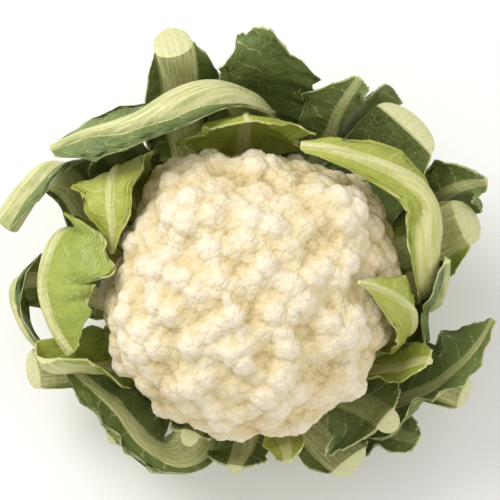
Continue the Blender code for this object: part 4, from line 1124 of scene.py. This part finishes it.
def leaf_mesh(leaf, reach):
    """The leaf's fine mesh, with its attributes. Its CAD solid is added to the map of reaches."""
    front, back, moved, rows, columns = solid_moves(leaf, reach)
    grid = fine_grid(leaf)
    sheet, bulge, length, aside = leaf_sheet(leaf, reach, grid)
    edges = (grid.wing, grid.wing + grid.rib)
    sheet = sheet + spread_moves(moved, rows, columns, grid)
    normal = unit(smoothed(outward(sheet, edges), 3))
    inner = sheet - normal * leaf.belly * bulge[..., None]
    heart = np.array([0.0, 0.0, HEART_HEIGHT])
    inner = inner + unit(inner - heart) * reach.shortfall(inner, 0.5 * LEAF_GAP)[..., None]
    sheet = inner + normal * leaf.belly * bulge[..., None]
    place = np.linspace(0.0, 1.0, grid.wing + 1)
    share = np.concatenate([place[::-1], np.zeros(grid.rib - 1), place])[None]
    thick = BLADE_THICKNESS + (MARGIN_THICKNESS - BLADE_THICKNESS) * share
    outer = off_stalk(sheet + normal * (thick + bulge)[..., None])
    inner = off_stalk(inner)
    corners = face_corners(*front.shape[:2])
    for face in (front, back):
        reach.add(np.einsum("sk,fkx->fsx", face_weights(12), face.reshape(-1, 3)[corners]))

    r, c = grid.rows, 2 * grid.wing + grid.rib + 1
    rim = [(0, j) for j in range(c)] + [(i, c - 1) for i in range(1, r)]
    rim += [(r - 1, j) for j in range(c - 2, -1, -1)] + [(i, 0) for i in range(r - 2, 0, -1)]
    rim = np.array([i * c + j for i, j in rim])
    flat_in, flat_out = inner.reshape(-1, 3), outer.reshape(-1, 3)
    gap = np.linalg.norm(flat_out[rim] - flat_in[rim], axis=1)
    cut = (rim // c == r - 1).astype(float)
    ahead = unit(sheet[-1, c // 2] - sheet[-3, c // 2])
    layers, shares = [], np.arange(1, RIM_LAYERS) / RIM_LAYERS
    across = np.clip(1.0 - (np.abs((rim % c) - c // 2) / (0.5 * grid.rib + 1.0)) ** 2, 0.0, 1.0)
    for f in shares:
        layer = flat_in[rim] * (1.0 - f) + flat_out[rim] * f
        swell = cut * CUT_SWELL * gap * 4.0 * f * (1.0 - f) * across
        layers.append(layer + ahead * swell[:, None])
    points = np.concatenate([flat_in, flat_out, *layers])

    def place_of(layer, k):
        """The index of the rim's point k in a layer, from the inner face to the outer one."""
        if layer == 0:
            return rim[k]
        return rim[k] + r * c if layer == RIM_LAYERS else 2 * r * c + (layer - 1) * len(rim) + k

    i, j = (n.ravel() for n in np.meshgrid(np.arange(r - 1), np.arange(c - 1), indexing="ij"))
    a = i * c + j
    quads = [np.stack([a, a + 1, a + c + 1, a + c], 1)]
    quads.append(np.stack([a, a + c, a + c + 1, a + 1], 1) + r * c)
    here = np.arange(len(rim))
    there = (here + 1) % len(rim)
    for layer in range(RIM_LAYERS):
        low, high = (lambda k, n=layer: place_of(n, k)), (lambda k, n=layer + 1: place_of(n, k))
        quads.append(np.stack([low(here), high(here), high(there), low(there)], 1))
    quads = np.concatenate(quads)

    rib_width = along(leaf.rib, np.linspace(0, 1, r))[:, None] * MM
    on_rib = np.clip(1.0 - (np.abs(aside) - rib_width) / RIB_FADE, 0, 1)
    reach_out = np.maximum(np.abs(aside[:, :1]), 1e-6), np.maximum(np.abs(aside[:, -1:]), 1e-6)
    to_side = np.where(aside < 0.0, reach_out[0] - np.abs(aside), reach_out[1] - np.abs(aside))
    to_end = np.linalg.norm(sheet[-1:] - sheet, axis=2)
    margin = np.clip(1.0 - np.minimum(to_side, to_end) / PALE_MARGIN, 0.0, 1.0)

    def everywhere(values, on_rim):
        return np.concatenate([values.ravel(), values.ravel(), *on_rim])

    rim_values = {"along": length, "aside": aside, "rib": on_rib}
    values = {k: everywhere(v, [v.ravel()[rim]] * len(shares)) for k, v in rim_values.items()}
    values["margin"] = everywhere(margin, [np.ones(len(rim))] * len(shares))
    values["cut"] = everywhere(np.zeros_like(aside), [cut * (gap > THICK_CUT)] * len(shares))
    values["core"] = everywhere(np.zeros_like(aside), [cut * across * 4.0 * f * (1.0 - f) for f in shares])
    rim_outside = [np.full(len(rim), f) for f in shares]
    values["outside"] = np.concatenate([np.zeros(r * c), np.ones(r * c), *rim_outside])
    mesh = mesh_from(leaf.name, points, quads, values)
    body = bmesh.new()
    body.from_mesh(mesh)
    bmesh.ops.recalc_face_normals(body, faces=body.faces)
    body.to_mesh(mesh)
    body.free()
    return mesh


print("blades have cells of", BLADE_CELL / MM, "mm")

# %% [markdown]
# ## Veins
#
# Side veins leave the rib at a slant, every 13 mm, and stand out on a leaf's outer side. Between
# them the blade puckers. Geometry Nodes work both out from how far a point is along and across the leaf,
# so the veins follow every bend, and they keep each point's distance to its vein for the material.

# %% The vein tree
VEIN_SPACING = 13.0 * MM
VEIN_WIDTH = 1.5 * MM
VEIN_HEIGHT = 0.55 * MM
VEIN_SLANT = 0.9
VEIN_THINS = 14.0
VEIN_THINNEST = 0.4
PUCKER_SIZE = 11.0 * MM
PUCKER_HEIGHT = 2.8 * MM


def vein_tree():
    """Raises veins and puckers the blade, from a leaf's own attributes."""
    tree = bpy.data.node_groups.new("leaf_veins", "GeometryNodeTree")
    tree.interface.new_socket("Geometry", in_out="OUTPUT", socket_type="NodeSocketGeometry")
    for name, kind in (
        ("Geometry", "Geometry"), ("Spacing", "Float"), ("Width", "Float"), ("Height", "Float"),
        ("Slant", "Float"), ("Pucker Size", "Float"), ("Pucker Height", "Float"), ("Material", "Material"),
    ):
        tree.interface.new_socket(name, in_out="INPUT", socket_type="NodeSocket" + kind)
    start = add(tree, "NodeGroupInput").outputs
    length, aside, rib, cut, outside = (
        add(tree, "GeometryNodeInputNamedAttribute", {"Name": name})
        for name in ("along", "aside", "rib", "cut", "outside")
    )
    # How far along its rib a slanted vein starts that passes this point
    far = add(tree, "ShaderNodeMath", {0: aside}, operation="ABSOLUTE")
    back = add(tree, "ShaderNodeMath", {0: far, 1: start["Slant"]}, operation="MULTIPLY")
    slanted = add(tree, "ShaderNodeMath", {0: length, 1: back}, operation="SUBTRACT")
    side = add(tree, "ShaderNodeMath", {0: aside}, operation="SIGN")
    stagger = add(tree, "ShaderNodeMath", {0: start["Spacing"], 1: 0.22}, operation="MULTIPLY")
    foot = add(tree, "ShaderNodeMath", {0: side, 1: stagger, 2: slanted}, operation="MULTIPLY_ADD")
    # How far the point is from the nearest vein
    turns = add(tree, "ShaderNodeMath", {0: foot, 1: start["Spacing"]}, operation="DIVIDE")
    turn = add(tree, "ShaderNodeMath", {0: turns}, operation="FRACT")
    centred = add(tree, "ShaderNodeMath", {0: turn, 1: 0.5}, operation="SUBTRACT")
    share = add(tree, "ShaderNodeMath", {0: centred}, operation="ABSOLUTE")
    off = add(tree, "ShaderNodeMath", {0: share, 1: start["Spacing"]}, operation="MULTIPLY")
    kept = add(
        tree, "GeometryNodeStoreNamedAttribute",
        {"Geometry": start["Geometry"], "Name": "to_vein", "Value": off}, data_type="FLOAT", domain="POINT",
    )
    # Veins thin out towards the margin, and neither the rib nor a cut has any
    thinner = add(tree, "ShaderNodeMath", {0: far, 1: -VEIN_THINS, 2: 1.0}, operation="MULTIPLY_ADD")
    taper = add(tree, "ShaderNodeMath", {0: thinner, 1: VEIN_THINNEST}, operation="MAXIMUM")
    width = add(tree, "ShaderNodeMath", {0: start["Width"], 1: taper}, operation="MULTIPLY")
    aways = add(tree, "ShaderNodeMath", {0: off, 1: width}, operation="DIVIDE")
    near = add(tree, "ShaderNodeMath", {0: 1.0, 1: aways}, operation="SUBTRACT", use_clamp=True)
    off_rib = add(tree, "ShaderNodeMath", {0: 1.0, 1: rib}, operation="SUBTRACT", use_clamp=True)
    blade = add(tree, "ShaderNodeMath", {0: off_rib, 1: cut}, operation="SUBTRACT", use_clamp=True)
    rounded = add(tree, "ShaderNodeMath", {0: near, 1: 0.8, 2: 0.3}, operation="SMOOTH_MIN")
    vein = add(tree, "ShaderNodeMath", {0: rounded, 1: blade}, operation="MULTIPLY")
    # A vein stands out on the outer side, and is a low line on the inner one
    least = add(tree, "ShaderNodeMath", {0: outside, 1: 0.25}, operation="MAXIMUM")
    height = add(tree, "ShaderNodeMath", {0: start["Height"], 1: least}, operation="MULTIPLY")
    raised = add(tree, "ShaderNodeMath", {0: vein, 1: height}, operation="MULTIPLY")
    # Both faces pucker the same way, so the blade keeps its thickness
    frequency = add(tree, "ShaderNodeMath", {0: 1.0, 1: start["Pucker Size"]}, operation="DIVIDE")
    noise = add(
        tree, "ShaderNodeTexNoise",
        {"Vector": add(tree, "GeometryNodeInputPosition"), "Scale": frequency, "Detail": 1.5},
    )
    swing = add(tree, "ShaderNodeMath", {0: noise, 1: 0.5}, operation="SUBTRACT")
    bump = add(tree, "ShaderNodeMath", {0: swing, 1: start["Pucker Height"]}, operation="MULTIPLY")
    facing = add(tree, "ShaderNodeMath", {0: outside, 1: 2.0, 2: -1.0}, operation="MULTIPLY_ADD")
    even = add(tree, "ShaderNodeMath", {0: bump, 1: facing}, operation="MULTIPLY")
    pucker = add(tree, "ShaderNodeMath", {0: even, 1: blade}, operation="MULTIPLY")
    both = add(tree, "ShaderNodeMath", {0: raised, 1: pucker}, operation="ADD")
    offset = add(
        tree, "ShaderNodeVectorMath",
        {0: add(tree, "GeometryNodeInputNormal"), "Scale": both}, operation="SCALE",
    )
    moved = add(tree, "GeometryNodeSetPosition", {"Geometry": kept, "Offset": offset})
    real = add(tree, "GeometryNodeRealizeInstances", {"Geometry": moved})
    done = add(tree, "GeometryNodeSetMaterial", {"Geometry": real, "Material": start["Material"]})
    add(tree, "NodeGroupOutput", {"Geometry": done})
    return tree


VEINS = vein_tree()
print("made", VEINS.name)

# %% [markdown]
# ## The leaves' finish
#
# Young leaves next to the curd saw little light and are yellow-green. Outer leaves are deep green under
# a grey bloom of wax. Ribs and veins are pale and finely ribbed along their length, margins are a thin
# pale line, and cut flesh is pale with a green rim and the dots of its cut fibres. One function makes the
# material for each age of leaf, because only its colours and its wax differ.

# %% The leaf material
VEIN_NET = 4.5 * MM
RIB_FIBRE = 1.1 * MM
CUT_FIBRE = 1.6 * MM
LEAF_PATCH = 22.0 * MM
WAX_SPOT = 6.0 * MM
CUT_FLESH = "#d2d09c"


def leaf_skin(name, colours, waxy, glow):
    """Living leaf: waxy skin over soft cells. The wax dulls the shine, and thin blades let light in.

    The colours are the blade's darker and lighter green, and its rib's paler and greener parts.
    """
    deep, light, pale, green = (linear(c) for c in colours)
    material = bpy.data.materials.new(name)
    material.use_nodes = True
    tree = material.node_tree
    shader = tree.nodes["Principled BSDF"]
    shader.inputs["IOR"].default_value = 1.42
    shader.inputs["Subsurface Weight"].default_value = glow
    shader.inputs["Subsurface Radius"].default_value = (0.55, 1.0, 0.18)
    shader.inputs["Subsurface Scale"].default_value = 1.6 * MM

    place = add(tree, "ShaderNodeTexCoord").outputs["Object"]
    length, aside, on_rib, margin, cut, core, shade, to_vein = (
        add(tree, "ShaderNodeAttribute", attribute_name=key).outputs["Fac"]
        for key in ("along", "aside", "rib", "margin", "cut", "core", "shade", "to_vein")
    )
    flat = add(tree, "ShaderNodeCombineXYZ", {"X": length, "Y": aside})
    # The blade, lighter in patches, along its net of small veins and on its side veins
    patch = add(tree, "ShaderNodeTexNoise", {"Vector": place, "Scale": 1.0 / LEAF_PATCH, "Detail": 4.0})
    patchy = add(
        tree, "ShaderNodeMapRange", {"Value": patch, "From Min": 0.3, "From Max": 0.7},
        interpolation_type="SMOOTHSTEP",
    )
    blade = add(tree, "ShaderNodeMix", {"Factor": patchy, "A": deep, "B": light}, data_type="RGBA")
    # Partly the leaf's own tone, partly painted light: blades that lie in shade are lightened here
    blade = add(tree, "ShaderNodeMix", {"Factor": shade, "A": blade, "B": light}, data_type="RGBA")
    net = add(
        tree, "ShaderNodeTexVoronoi", {"Vector": flat, "Scale": 1.0 / VEIN_NET}, feature="DISTANCE_TO_EDGE"
    )
    line = add(
        tree, "ShaderNodeMapRange",
        {"Value": net.outputs["Distance"], "From Min": 0.02, "From Max": 0.16, "To Min": 0.45, "To Max": 0.0},
        interpolation_type="SMOOTHSTEP",
    )
    blade = add(tree, "ShaderNodeMix", {"Factor": line, "A": blade, "B": light}, data_type="RGBA")
    vein = add(
        tree, "ShaderNodeMapRange",
        {"Value": to_vein, "From Min": 0.15 * MM, "From Max": 0.8 * MM, "To Min": 0.62, "To Max": 0.0},
        interpolation_type="SMOOTHSTEP",
    )
    blade = add(tree, "ShaderNodeMix", {"Factor": vein, "A": blade, "B": pale}, data_type="RGBA")
    # The rib, with fibres along it
    fibres = add(tree, "ShaderNodeVectorMath", {0: flat, 1: (0.05, 1.0, 1.0)}, operation="MULTIPLY")
    grain = add(tree, "ShaderNodeTexNoise", {"Vector": fibres, "Scale": 1.0 / RIB_FIBRE, "Detail": 2.0})
    green_share = add(
        tree, "ShaderNodeMapRange", {"Value": grain, "From Min": 0.35, "From Max": 0.7},
        interpolation_type="SMOOTHSTEP",
    )
    rib = add(tree, "ShaderNodeMix", {"Factor": green_share, "A": pale, "B": green}, data_type="RGBA")
    rib_share = add(
        tree, "ShaderNodeMapRange", {"Value": on_rib, "From Min": 0.1, "From Max": 0.9},
        interpolation_type="SMOOTHSTEP",
    )
    skin = add(tree, "ShaderNodeMix", {"Factor": rib_share, "A": blade, "B": rib}, data_type="RGBA")
    # The thin pale margin
    margin_share = add(
        tree, "ShaderNodeMapRange", {"Value": margin, "From Min": 0.3, "From Max": 1.0, "To Max": 0.5},
        interpolation_type="SMOOTHSTEP",
    )
    skin = add(tree, "ShaderNodeMix", {"Factor": margin_share, "A": skin, "B": pale}, data_type="RGBA")
    # Cut flesh, with the dots of its fibres and a green rim
    dots = add(tree, "ShaderNodeTexVoronoi", {"Vector": place, "Scale": 1.0 / CUT_FIBRE}, feature="F1")
    round_dots = add(
        tree, "ShaderNodeMapRange",
        {"Value": dots.outputs["Distance"], "From Min": 0.1, "From Max": 0.5, "To Min": 0.45},
        interpolation_type="SMOOTHSTEP",
    )
    flesh = add(
        tree, "ShaderNodeMix", {"Factor": round_dots, "A": green, "B": linear(CUT_FLESH)}, data_type="RGBA"
    )
    inside_rim = add(
        tree, "ShaderNodeMapRange", {"Value": core, "From Min": 0.02, "From Max": 0.4},
        interpolation_type="SMOOTHSTEP",
    )
    flesh = add(tree, "ShaderNodeMix", {"Factor": inside_rim, "A": green, "B": flesh}, data_type="RGBA")
    cut_share = add(
        tree, "ShaderNodeMapRange", {"Value": cut, "From Min": 0.3, "From Max": 0.7},
        interpolation_type="SMOOTHSTEP",
    )
    skin = add(tree, "ShaderNodeMix", {"Factor": cut_share, "A": skin, "B": flesh}, data_type="RGBA")
    tree.links.new(next(s for s in skin.outputs if s.enabled), shader.inputs["Base Color"])

    # The wax is thinner in spots, which shine a little more, and ribs and cells stand out as low relief
    spots = add(tree, "ShaderNodeTexNoise", {"Vector": place, "Scale": 1.0 / WAX_SPOT, "Detail": 3.0})
    dull = add(
        tree, "ShaderNodeMapRange",
        {"Value": spots, "From Min": 0.3, "From Max": 0.7, "To Min": waxy - 0.08, "To Max": waxy + 0.12},
        interpolation_type="SMOOTHSTEP",
    )
    tree.links.new(dull.outputs[0], shader.inputs["Roughness"])
    ribbed = add(
        tree, "ShaderNodeMapRange", {"Value": on_rib, "From Min": 0.4, "From Max": 0.9},
        interpolation_type="SMOOTHSTEP",
    )
    cells_rise = add(
        tree, "ShaderNodeMapRange", {"Value": net.outputs["Distance"], "From Max": 0.25},
        interpolation_type="SMOOTHSTEP",
    )
    relief = add(
        tree, "ShaderNodeMath", {0: ribbed, 1: grain, 2: cells_rise}, operation="MULTIPLY_ADD"
    )
    bump = add(tree, "ShaderNodeBump", {"Strength": 0.55, "Distance": 0.35 * MM, "Height": relief})
    tree.links.new(bump.outputs[0], shader.inputs["Normal"])
    return material


SKINS = {
    "inner": leaf_skin("young_leaf_skin", ("#84922a", "#aeb550", "#dad69b", "#bcc070"), 0.45, 0.2),
    "middle": leaf_skin("green_leaf_skin", ("#677a2a", "#a3ae4e", "#dad69b", "#b2b870"), 0.42, 0.1),
    "outer": leaf_skin("waxy_outer_leaf_skin", ("#465528", "#78884a", "#d8d49c", "#a9b06c"), 0.4, 0.04),
}
print("made", [m.name for m in SKINS.values()])

# %% Make every leaf
LEAF_EDGE_ANGLE = 55.0
# How far a leaf's blade is lightened, from 0 for its own green to 1 for the lighter one. Partly each leaf's
# own tone and partly painted light: blades that lie in shade, such as the inner back, square and right
# spreading leaves, are lightened to make up for it
LIGHTNESS_AND_PAINTED_LIGHT = {
    "leaf_inner_back": 0.55, "leaf_inner_left": 0.8, "leaf_inner_tip": 0.9, "leaf_inner_right": 0.55,
    "leaf_fold_left": 0.55, "leaf_curl_left": 0.1, "leaf_square": 0.9, "leaf_small_bottom": 0.2,
    "leaf_pale_right": 0.8, "leaf_lower_left": 0.4, "leaf_long_left": 0.6, "leaf_back_right": 0.5,
    "leaf_lobed_right": 0.3, "leaf_spread_right": 0.7, "leaf_sweep_left": 0.25, "leaf_dark_right": 0.2,
    "leaf_big_back": 0.15,
}


def clear_head(reach):
    """Adds the CAD head to the map, so the leaves lie on it."""
    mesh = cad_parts["curd"].data
    mesh.calc_loop_triangles()
    points = np.array([v.co for v in mesh.vertices])
    corners = np.array([t.vertices for t in mesh.loop_triangles])
    spots = np.einsum("sk,fkx->fsx", face_weights(6), points[corners])
    reach.add(spots + unit(spots - np.array([0.0, 0.0, HEART_HEIGHT])) * (HEAD_GAP - LEAF_GAP))


# How much of the rib's paleness shows on the inner side, where green skin covers it
RIB_SHOWS_INSIDE = {
    "leaf_big_back": 0.15, "leaf_channel": 0.2, "leaf_back_right": 0.6, "leaf_wavy_right": 0.5,
    "leaf_dark_right": 0.4, "leaf_lobed_right": 0.6, "leaf_dark_curl": 0.4, "leaf_ball_right": 0.5,
    "leaf_spread_right": 0.7,
}


def fade_inner_rib(mesh, share):
    """Lets the inner side's rib keep only a share of its paleness, as under a leaf's green upper skin."""
    rib, outside = values_of(mesh, "rib"), values_of(mesh, "outside")
    mesh.attributes["rib"].data.foreach_set("value", rib * (share + (1.0 - share) * outside))


clear_head(reach_map)
low_limit, high_limit = np.array(cad_low) + 0.1 * MM, np.array(cad_high) - 0.1 * MM
for leaf in LEAVES:
    bare = show(leaf.name + "_bare", leaf_mesh(leaf, reach_map))
    mesh = grown(
        bare, VEINS,
        {
            "Spacing": VEIN_SPACING, "Width": VEIN_WIDTH, "Height": VEIN_HEIGHT, "Slant": VEIN_SLANT,
            "Pucker Size": PUCKER_SIZE, "Pucker Height": PUCKER_HEIGHT, "Material": SKINS[leaf.tone],
        },
    )
    bpy.data.objects.remove(bare)
    spots = np.clip(places_of(mesh), low_limit, high_limit)
    mesh.vertices.foreach_set("co", spots.astype(np.float32).ravel())
    fade_inner_rib(mesh, RIB_SHOWS_INSIDE.get(leaf.name, 1.0))
    shade = mesh.attributes.new("shade", "FLOAT", "POINT")
    lightness_and_painted_light = LIGHTNESS_AND_PAINTED_LIGHT.get(leaf.name, 0.0)
    shade.data.foreach_set("value", np.full(len(mesh.vertices), lightness_and_painted_light, np.float32))
    mesh.set_sharp_from_angle(angle=math.radians(LEAF_EDGE_ANGLE))
    piece = show(leaf.name + "_skin", mesh)
    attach(piece, "root")
    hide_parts(leaf.name)
    print(piece.name, len(mesh.polygons), "faces")

# %% [markdown]
# ## The stalk
#
# The stem was cut through with a knife, just under the leaves. Its side is pale green and faintly ribbed,
# and its cut face shows a woody ring round a soft pith. It is turned as rings of points, all a hair
# inside the CAD solid, with the cut face drawn finely enough for a low bump.

# %% The stalk
STALK_SIDES = 120
STALK_RISE_ROWS = 40
STALK_FACE_RINGS = 14
STALK_RIBS = 9
STALK_INSET = 0.986
STALK_RIB_DEPTH = 0.012
STALK_EDGE_ANGLE = 50.0


def stalk_mesh():
    """The stalk, turned from its cut face to where it meets the head."""
    turn = np.arange(STALK_SIDES) / STALK_SIDES * math.tau
    rings, core = [], []
    for k in range(1, STALK_FACE_RINGS + 1):
        rings.append((STALK_CUT_RADIUS * k / STALK_FACE_RINGS, 0.0))
        core.append(1.0 - k / STALK_FACE_RINGS)
    for height in np.linspace(0.6 * MM, STALK_HEIGHT, STALK_RISE_ROWS):
        rings.append((float(stalk_radius(height)), height))
        core.append(-1.0)
    points, values = [(0.0, 0.0, 0.0)], [1.0]
    for (radius, height), middle in zip(rings, core):
        ribbed = 0.5 + 0.5 * np.sin(STALK_RIBS * turn + 0.8 * np.sin(2 * turn))
        ripple = 1.0 - STALK_RIB_DEPTH * ribbed * (middle < 0)
        far = radius * STALK_INSET * ripple
        points += list(zip(far * np.cos(turn), far * np.sin(turn), np.full(STALK_SIDES, height)))
        values += [middle] * STALK_SIDES
    points.append((0.0, 0.0, STALK_HEIGHT))
    values.append(-1.0)
    n = STALK_SIDES
    faces = [(0, 1 + (k + 1) % n, 1 + k) for k in range(n)]
    for ring in range(len(rings) - 1):
        low, high = 1 + ring * n, 1 + (ring + 1) * n
        faces += [(low + k, low + (k + 1) % n, high + (k + 1) % n, high + k) for k in range(n)]
    top = 1 + (len(rings) - 1) * n
    faces += [(top + k, top + (k + 1) % n, len(points) - 1) for k in range(n)]
    values = np.array(values)
    spots = np.array(points)
    mesh = mesh_from(
        "stalk_cut", spots, faces,
        {"core": np.clip(values, 0.0, 1.0), "cut": (values >= 0.0).astype(float)},
    )
    mesh.set_sharp_from_angle(angle=math.radians(STALK_EDGE_ANGLE))
    return mesh


print("the stalk is turned with", STALK_SIDES, "sides")

# %% The stalk's material
STEM_FIBRE = 1.2 * MM
STEM_SKIN = ("#c8cc90", "#dfdcae")
STEM_PITH = ("#ece6c2", "#e2dcae")
STEM_GREEN_RING = "#bfc384"
STEM_WOODY_RING = "#d2cf92"


def stem_flesh():
    """Cut stem: pale firm flesh with a woody ring, moist and half matt where the knife went."""
    material = bpy.data.materials.new("stem_flesh_and_skin")
    material.use_nodes = True
    tree = material.node_tree
    shader = tree.nodes["Principled BSDF"]
    shader.inputs["Roughness"].default_value = 0.5
    shader.inputs["IOR"].default_value = 1.4
    shader.inputs["Subsurface Weight"].default_value = 0.12
    shader.inputs["Subsurface Radius"].default_value = (1.0, 0.9, 0.4)
    shader.inputs["Subsurface Scale"].default_value = 2.0 * MM

    place = add(tree, "ShaderNodeTexCoord").outputs["Object"]
    core = add(tree, "ShaderNodeAttribute", attribute_name="core").outputs["Fac"]
    cut = add(tree, "ShaderNodeAttribute", attribute_name="cut").outputs["Fac"]
    stretched = add(tree, "ShaderNodeVectorMath", {0: place, 1: (1.0, 1.0, 0.12)}, operation="MULTIPLY")
    fibre = add(tree, "ShaderNodeTexNoise", {"Vector": stretched, "Scale": 1.0 / STEM_FIBRE, "Detail": 3.0})
    streak = add(
        tree, "ShaderNodeMapRange", {"Value": fibre, "From Min": 0.35, "From Max": 0.65},
        interpolation_type="SMOOTHSTEP",
    )
    side = add(
        tree, "ShaderNodeMix",
        {"Factor": streak, "A": linear(STEM_SKIN[0]), "B": linear(STEM_SKIN[1])}, data_type="RGBA",
    )
    pith = add(
        tree, "ShaderNodeMix",
        {"Factor": streak, "A": linear(STEM_PITH[0]), "B": linear(STEM_PITH[1])}, data_type="RGBA",
    )
    # From the skin inwards: green flesh, then the woody ring, then the pith
    woody = add(
        tree, "ShaderNodeMapRange", {"Value": core, "From Min": 0.24, "From Max": 0.30},
        interpolation_type="SMOOTHSTEP",
    )
    ring = add(
        tree, "ShaderNodeMix",
        {"Factor": woody, "A": linear(STEM_GREEN_RING), "B": linear(STEM_WOODY_RING)}, data_type="RGBA",
    )
    middle = add(
        tree, "ShaderNodeMapRange", {"Value": core, "From Min": 0.34, "From Max": 0.42},
        interpolation_type="SMOOTHSTEP",
    )
    face = add(tree, "ShaderNodeMix", {"Factor": middle, "A": ring, "B": pith}, data_type="RGBA")
    skin = add(tree, "ShaderNodeMix", {"Factor": cut, "A": side, "B": face}, data_type="RGBA")
    tree.links.new(next(s for s in skin.outputs if s.enabled), shader.inputs["Base Color"])
    bump = add(tree, "ShaderNodeBump", {"Strength": 0.4, "Distance": 0.3 * MM, "Height": fibre})
    tree.links.new(bump.outputs[0], shader.inputs["Normal"])
    return material


stalk = show("stalk_cut", stalk_mesh(), stem_flesh())
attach(stalk, "root")
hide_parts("stalk")
print(stalk.name, len(stalk.data.polygons), "faces")

# %% [markdown]
# ## The studio
#
# The cauliflower stands on a plain pale floor. A large soft light behind its left side gives the curd its
# bright top and its shaded front, a weak one opens the shadows, and a bright even surround does the rest,
# as a white tent would.

# %% Floor and lights
FLOOR_SIZE = 6.0
FLOOR_COLOUR = "#f4f3f0"
LIGHT_SIZE = 0.7
LIGHT_AIM = (0.0, 0.02, 0.08)
KEY_PLACE = (-0.55, 0.45, 0.85)
KEY_POWER = 7.6
FILL_PLACE = (0.7, -0.5, 0.7)
FILL_POWER = 2.2
SURROUND_STRENGTH = 0.68


def area_light(name, place, aim, size, power):
    light = bpy.data.lights.new(name, "AREA")
    light.shape, light.size, light.energy = "DISK", size, power
    obj = bpy.data.objects.new(name, light)
    obj.location = place
    obj.rotation_euler = (Vector(aim) - Vector(place)).to_track_quat("-Z", "Y").to_euler()
    bpy.context.scene.collection.objects.link(obj)
    return obj


def studio():
    half = FLOOR_SIZE / 2.0
    corners = np.array([(-half, -half, 0), (half, -half, 0), (half, half, 0), (-half, half, 0)])
    floor = show("floor", mesh_from("floor", corners, [(0, 1, 2, 3)], {}))
    paint = bpy.data.materials.new("matt_pale_floor")
    paint.use_nodes = True
    paint.node_tree.nodes["Principled BSDF"].inputs["Base Color"].default_value = linear(FLOOR_COLOUR)
    paint.node_tree.nodes["Principled BSDF"].inputs["Roughness"].default_value = 0.9
    floor.data.materials.append(paint)
    area_light("key", KEY_PLACE, LIGHT_AIM, LIGHT_SIZE, KEY_POWER)
    area_light("fill", FILL_PLACE, LIGHT_AIM, LIGHT_SIZE, FILL_POWER)
    world = bpy.data.worlds.new("white_tent")
    world.use_nodes = True
    world.node_tree.nodes["Background"].inputs["Color"].default_value = (1.0, 1.0, 1.0, 1.0)
    world.node_tree.nodes["Background"].inputs["Strength"].default_value = SURROUND_STRENGTH
    bpy.context.scene.world = world
    bpy.context.scene.view_settings.view_transform = "Standard"
    return floor


studio()

# %% Measure and finish
print("CAD box", [round((b - a) / MM, 1) for a, b in zip(cad_low, cad_high)])
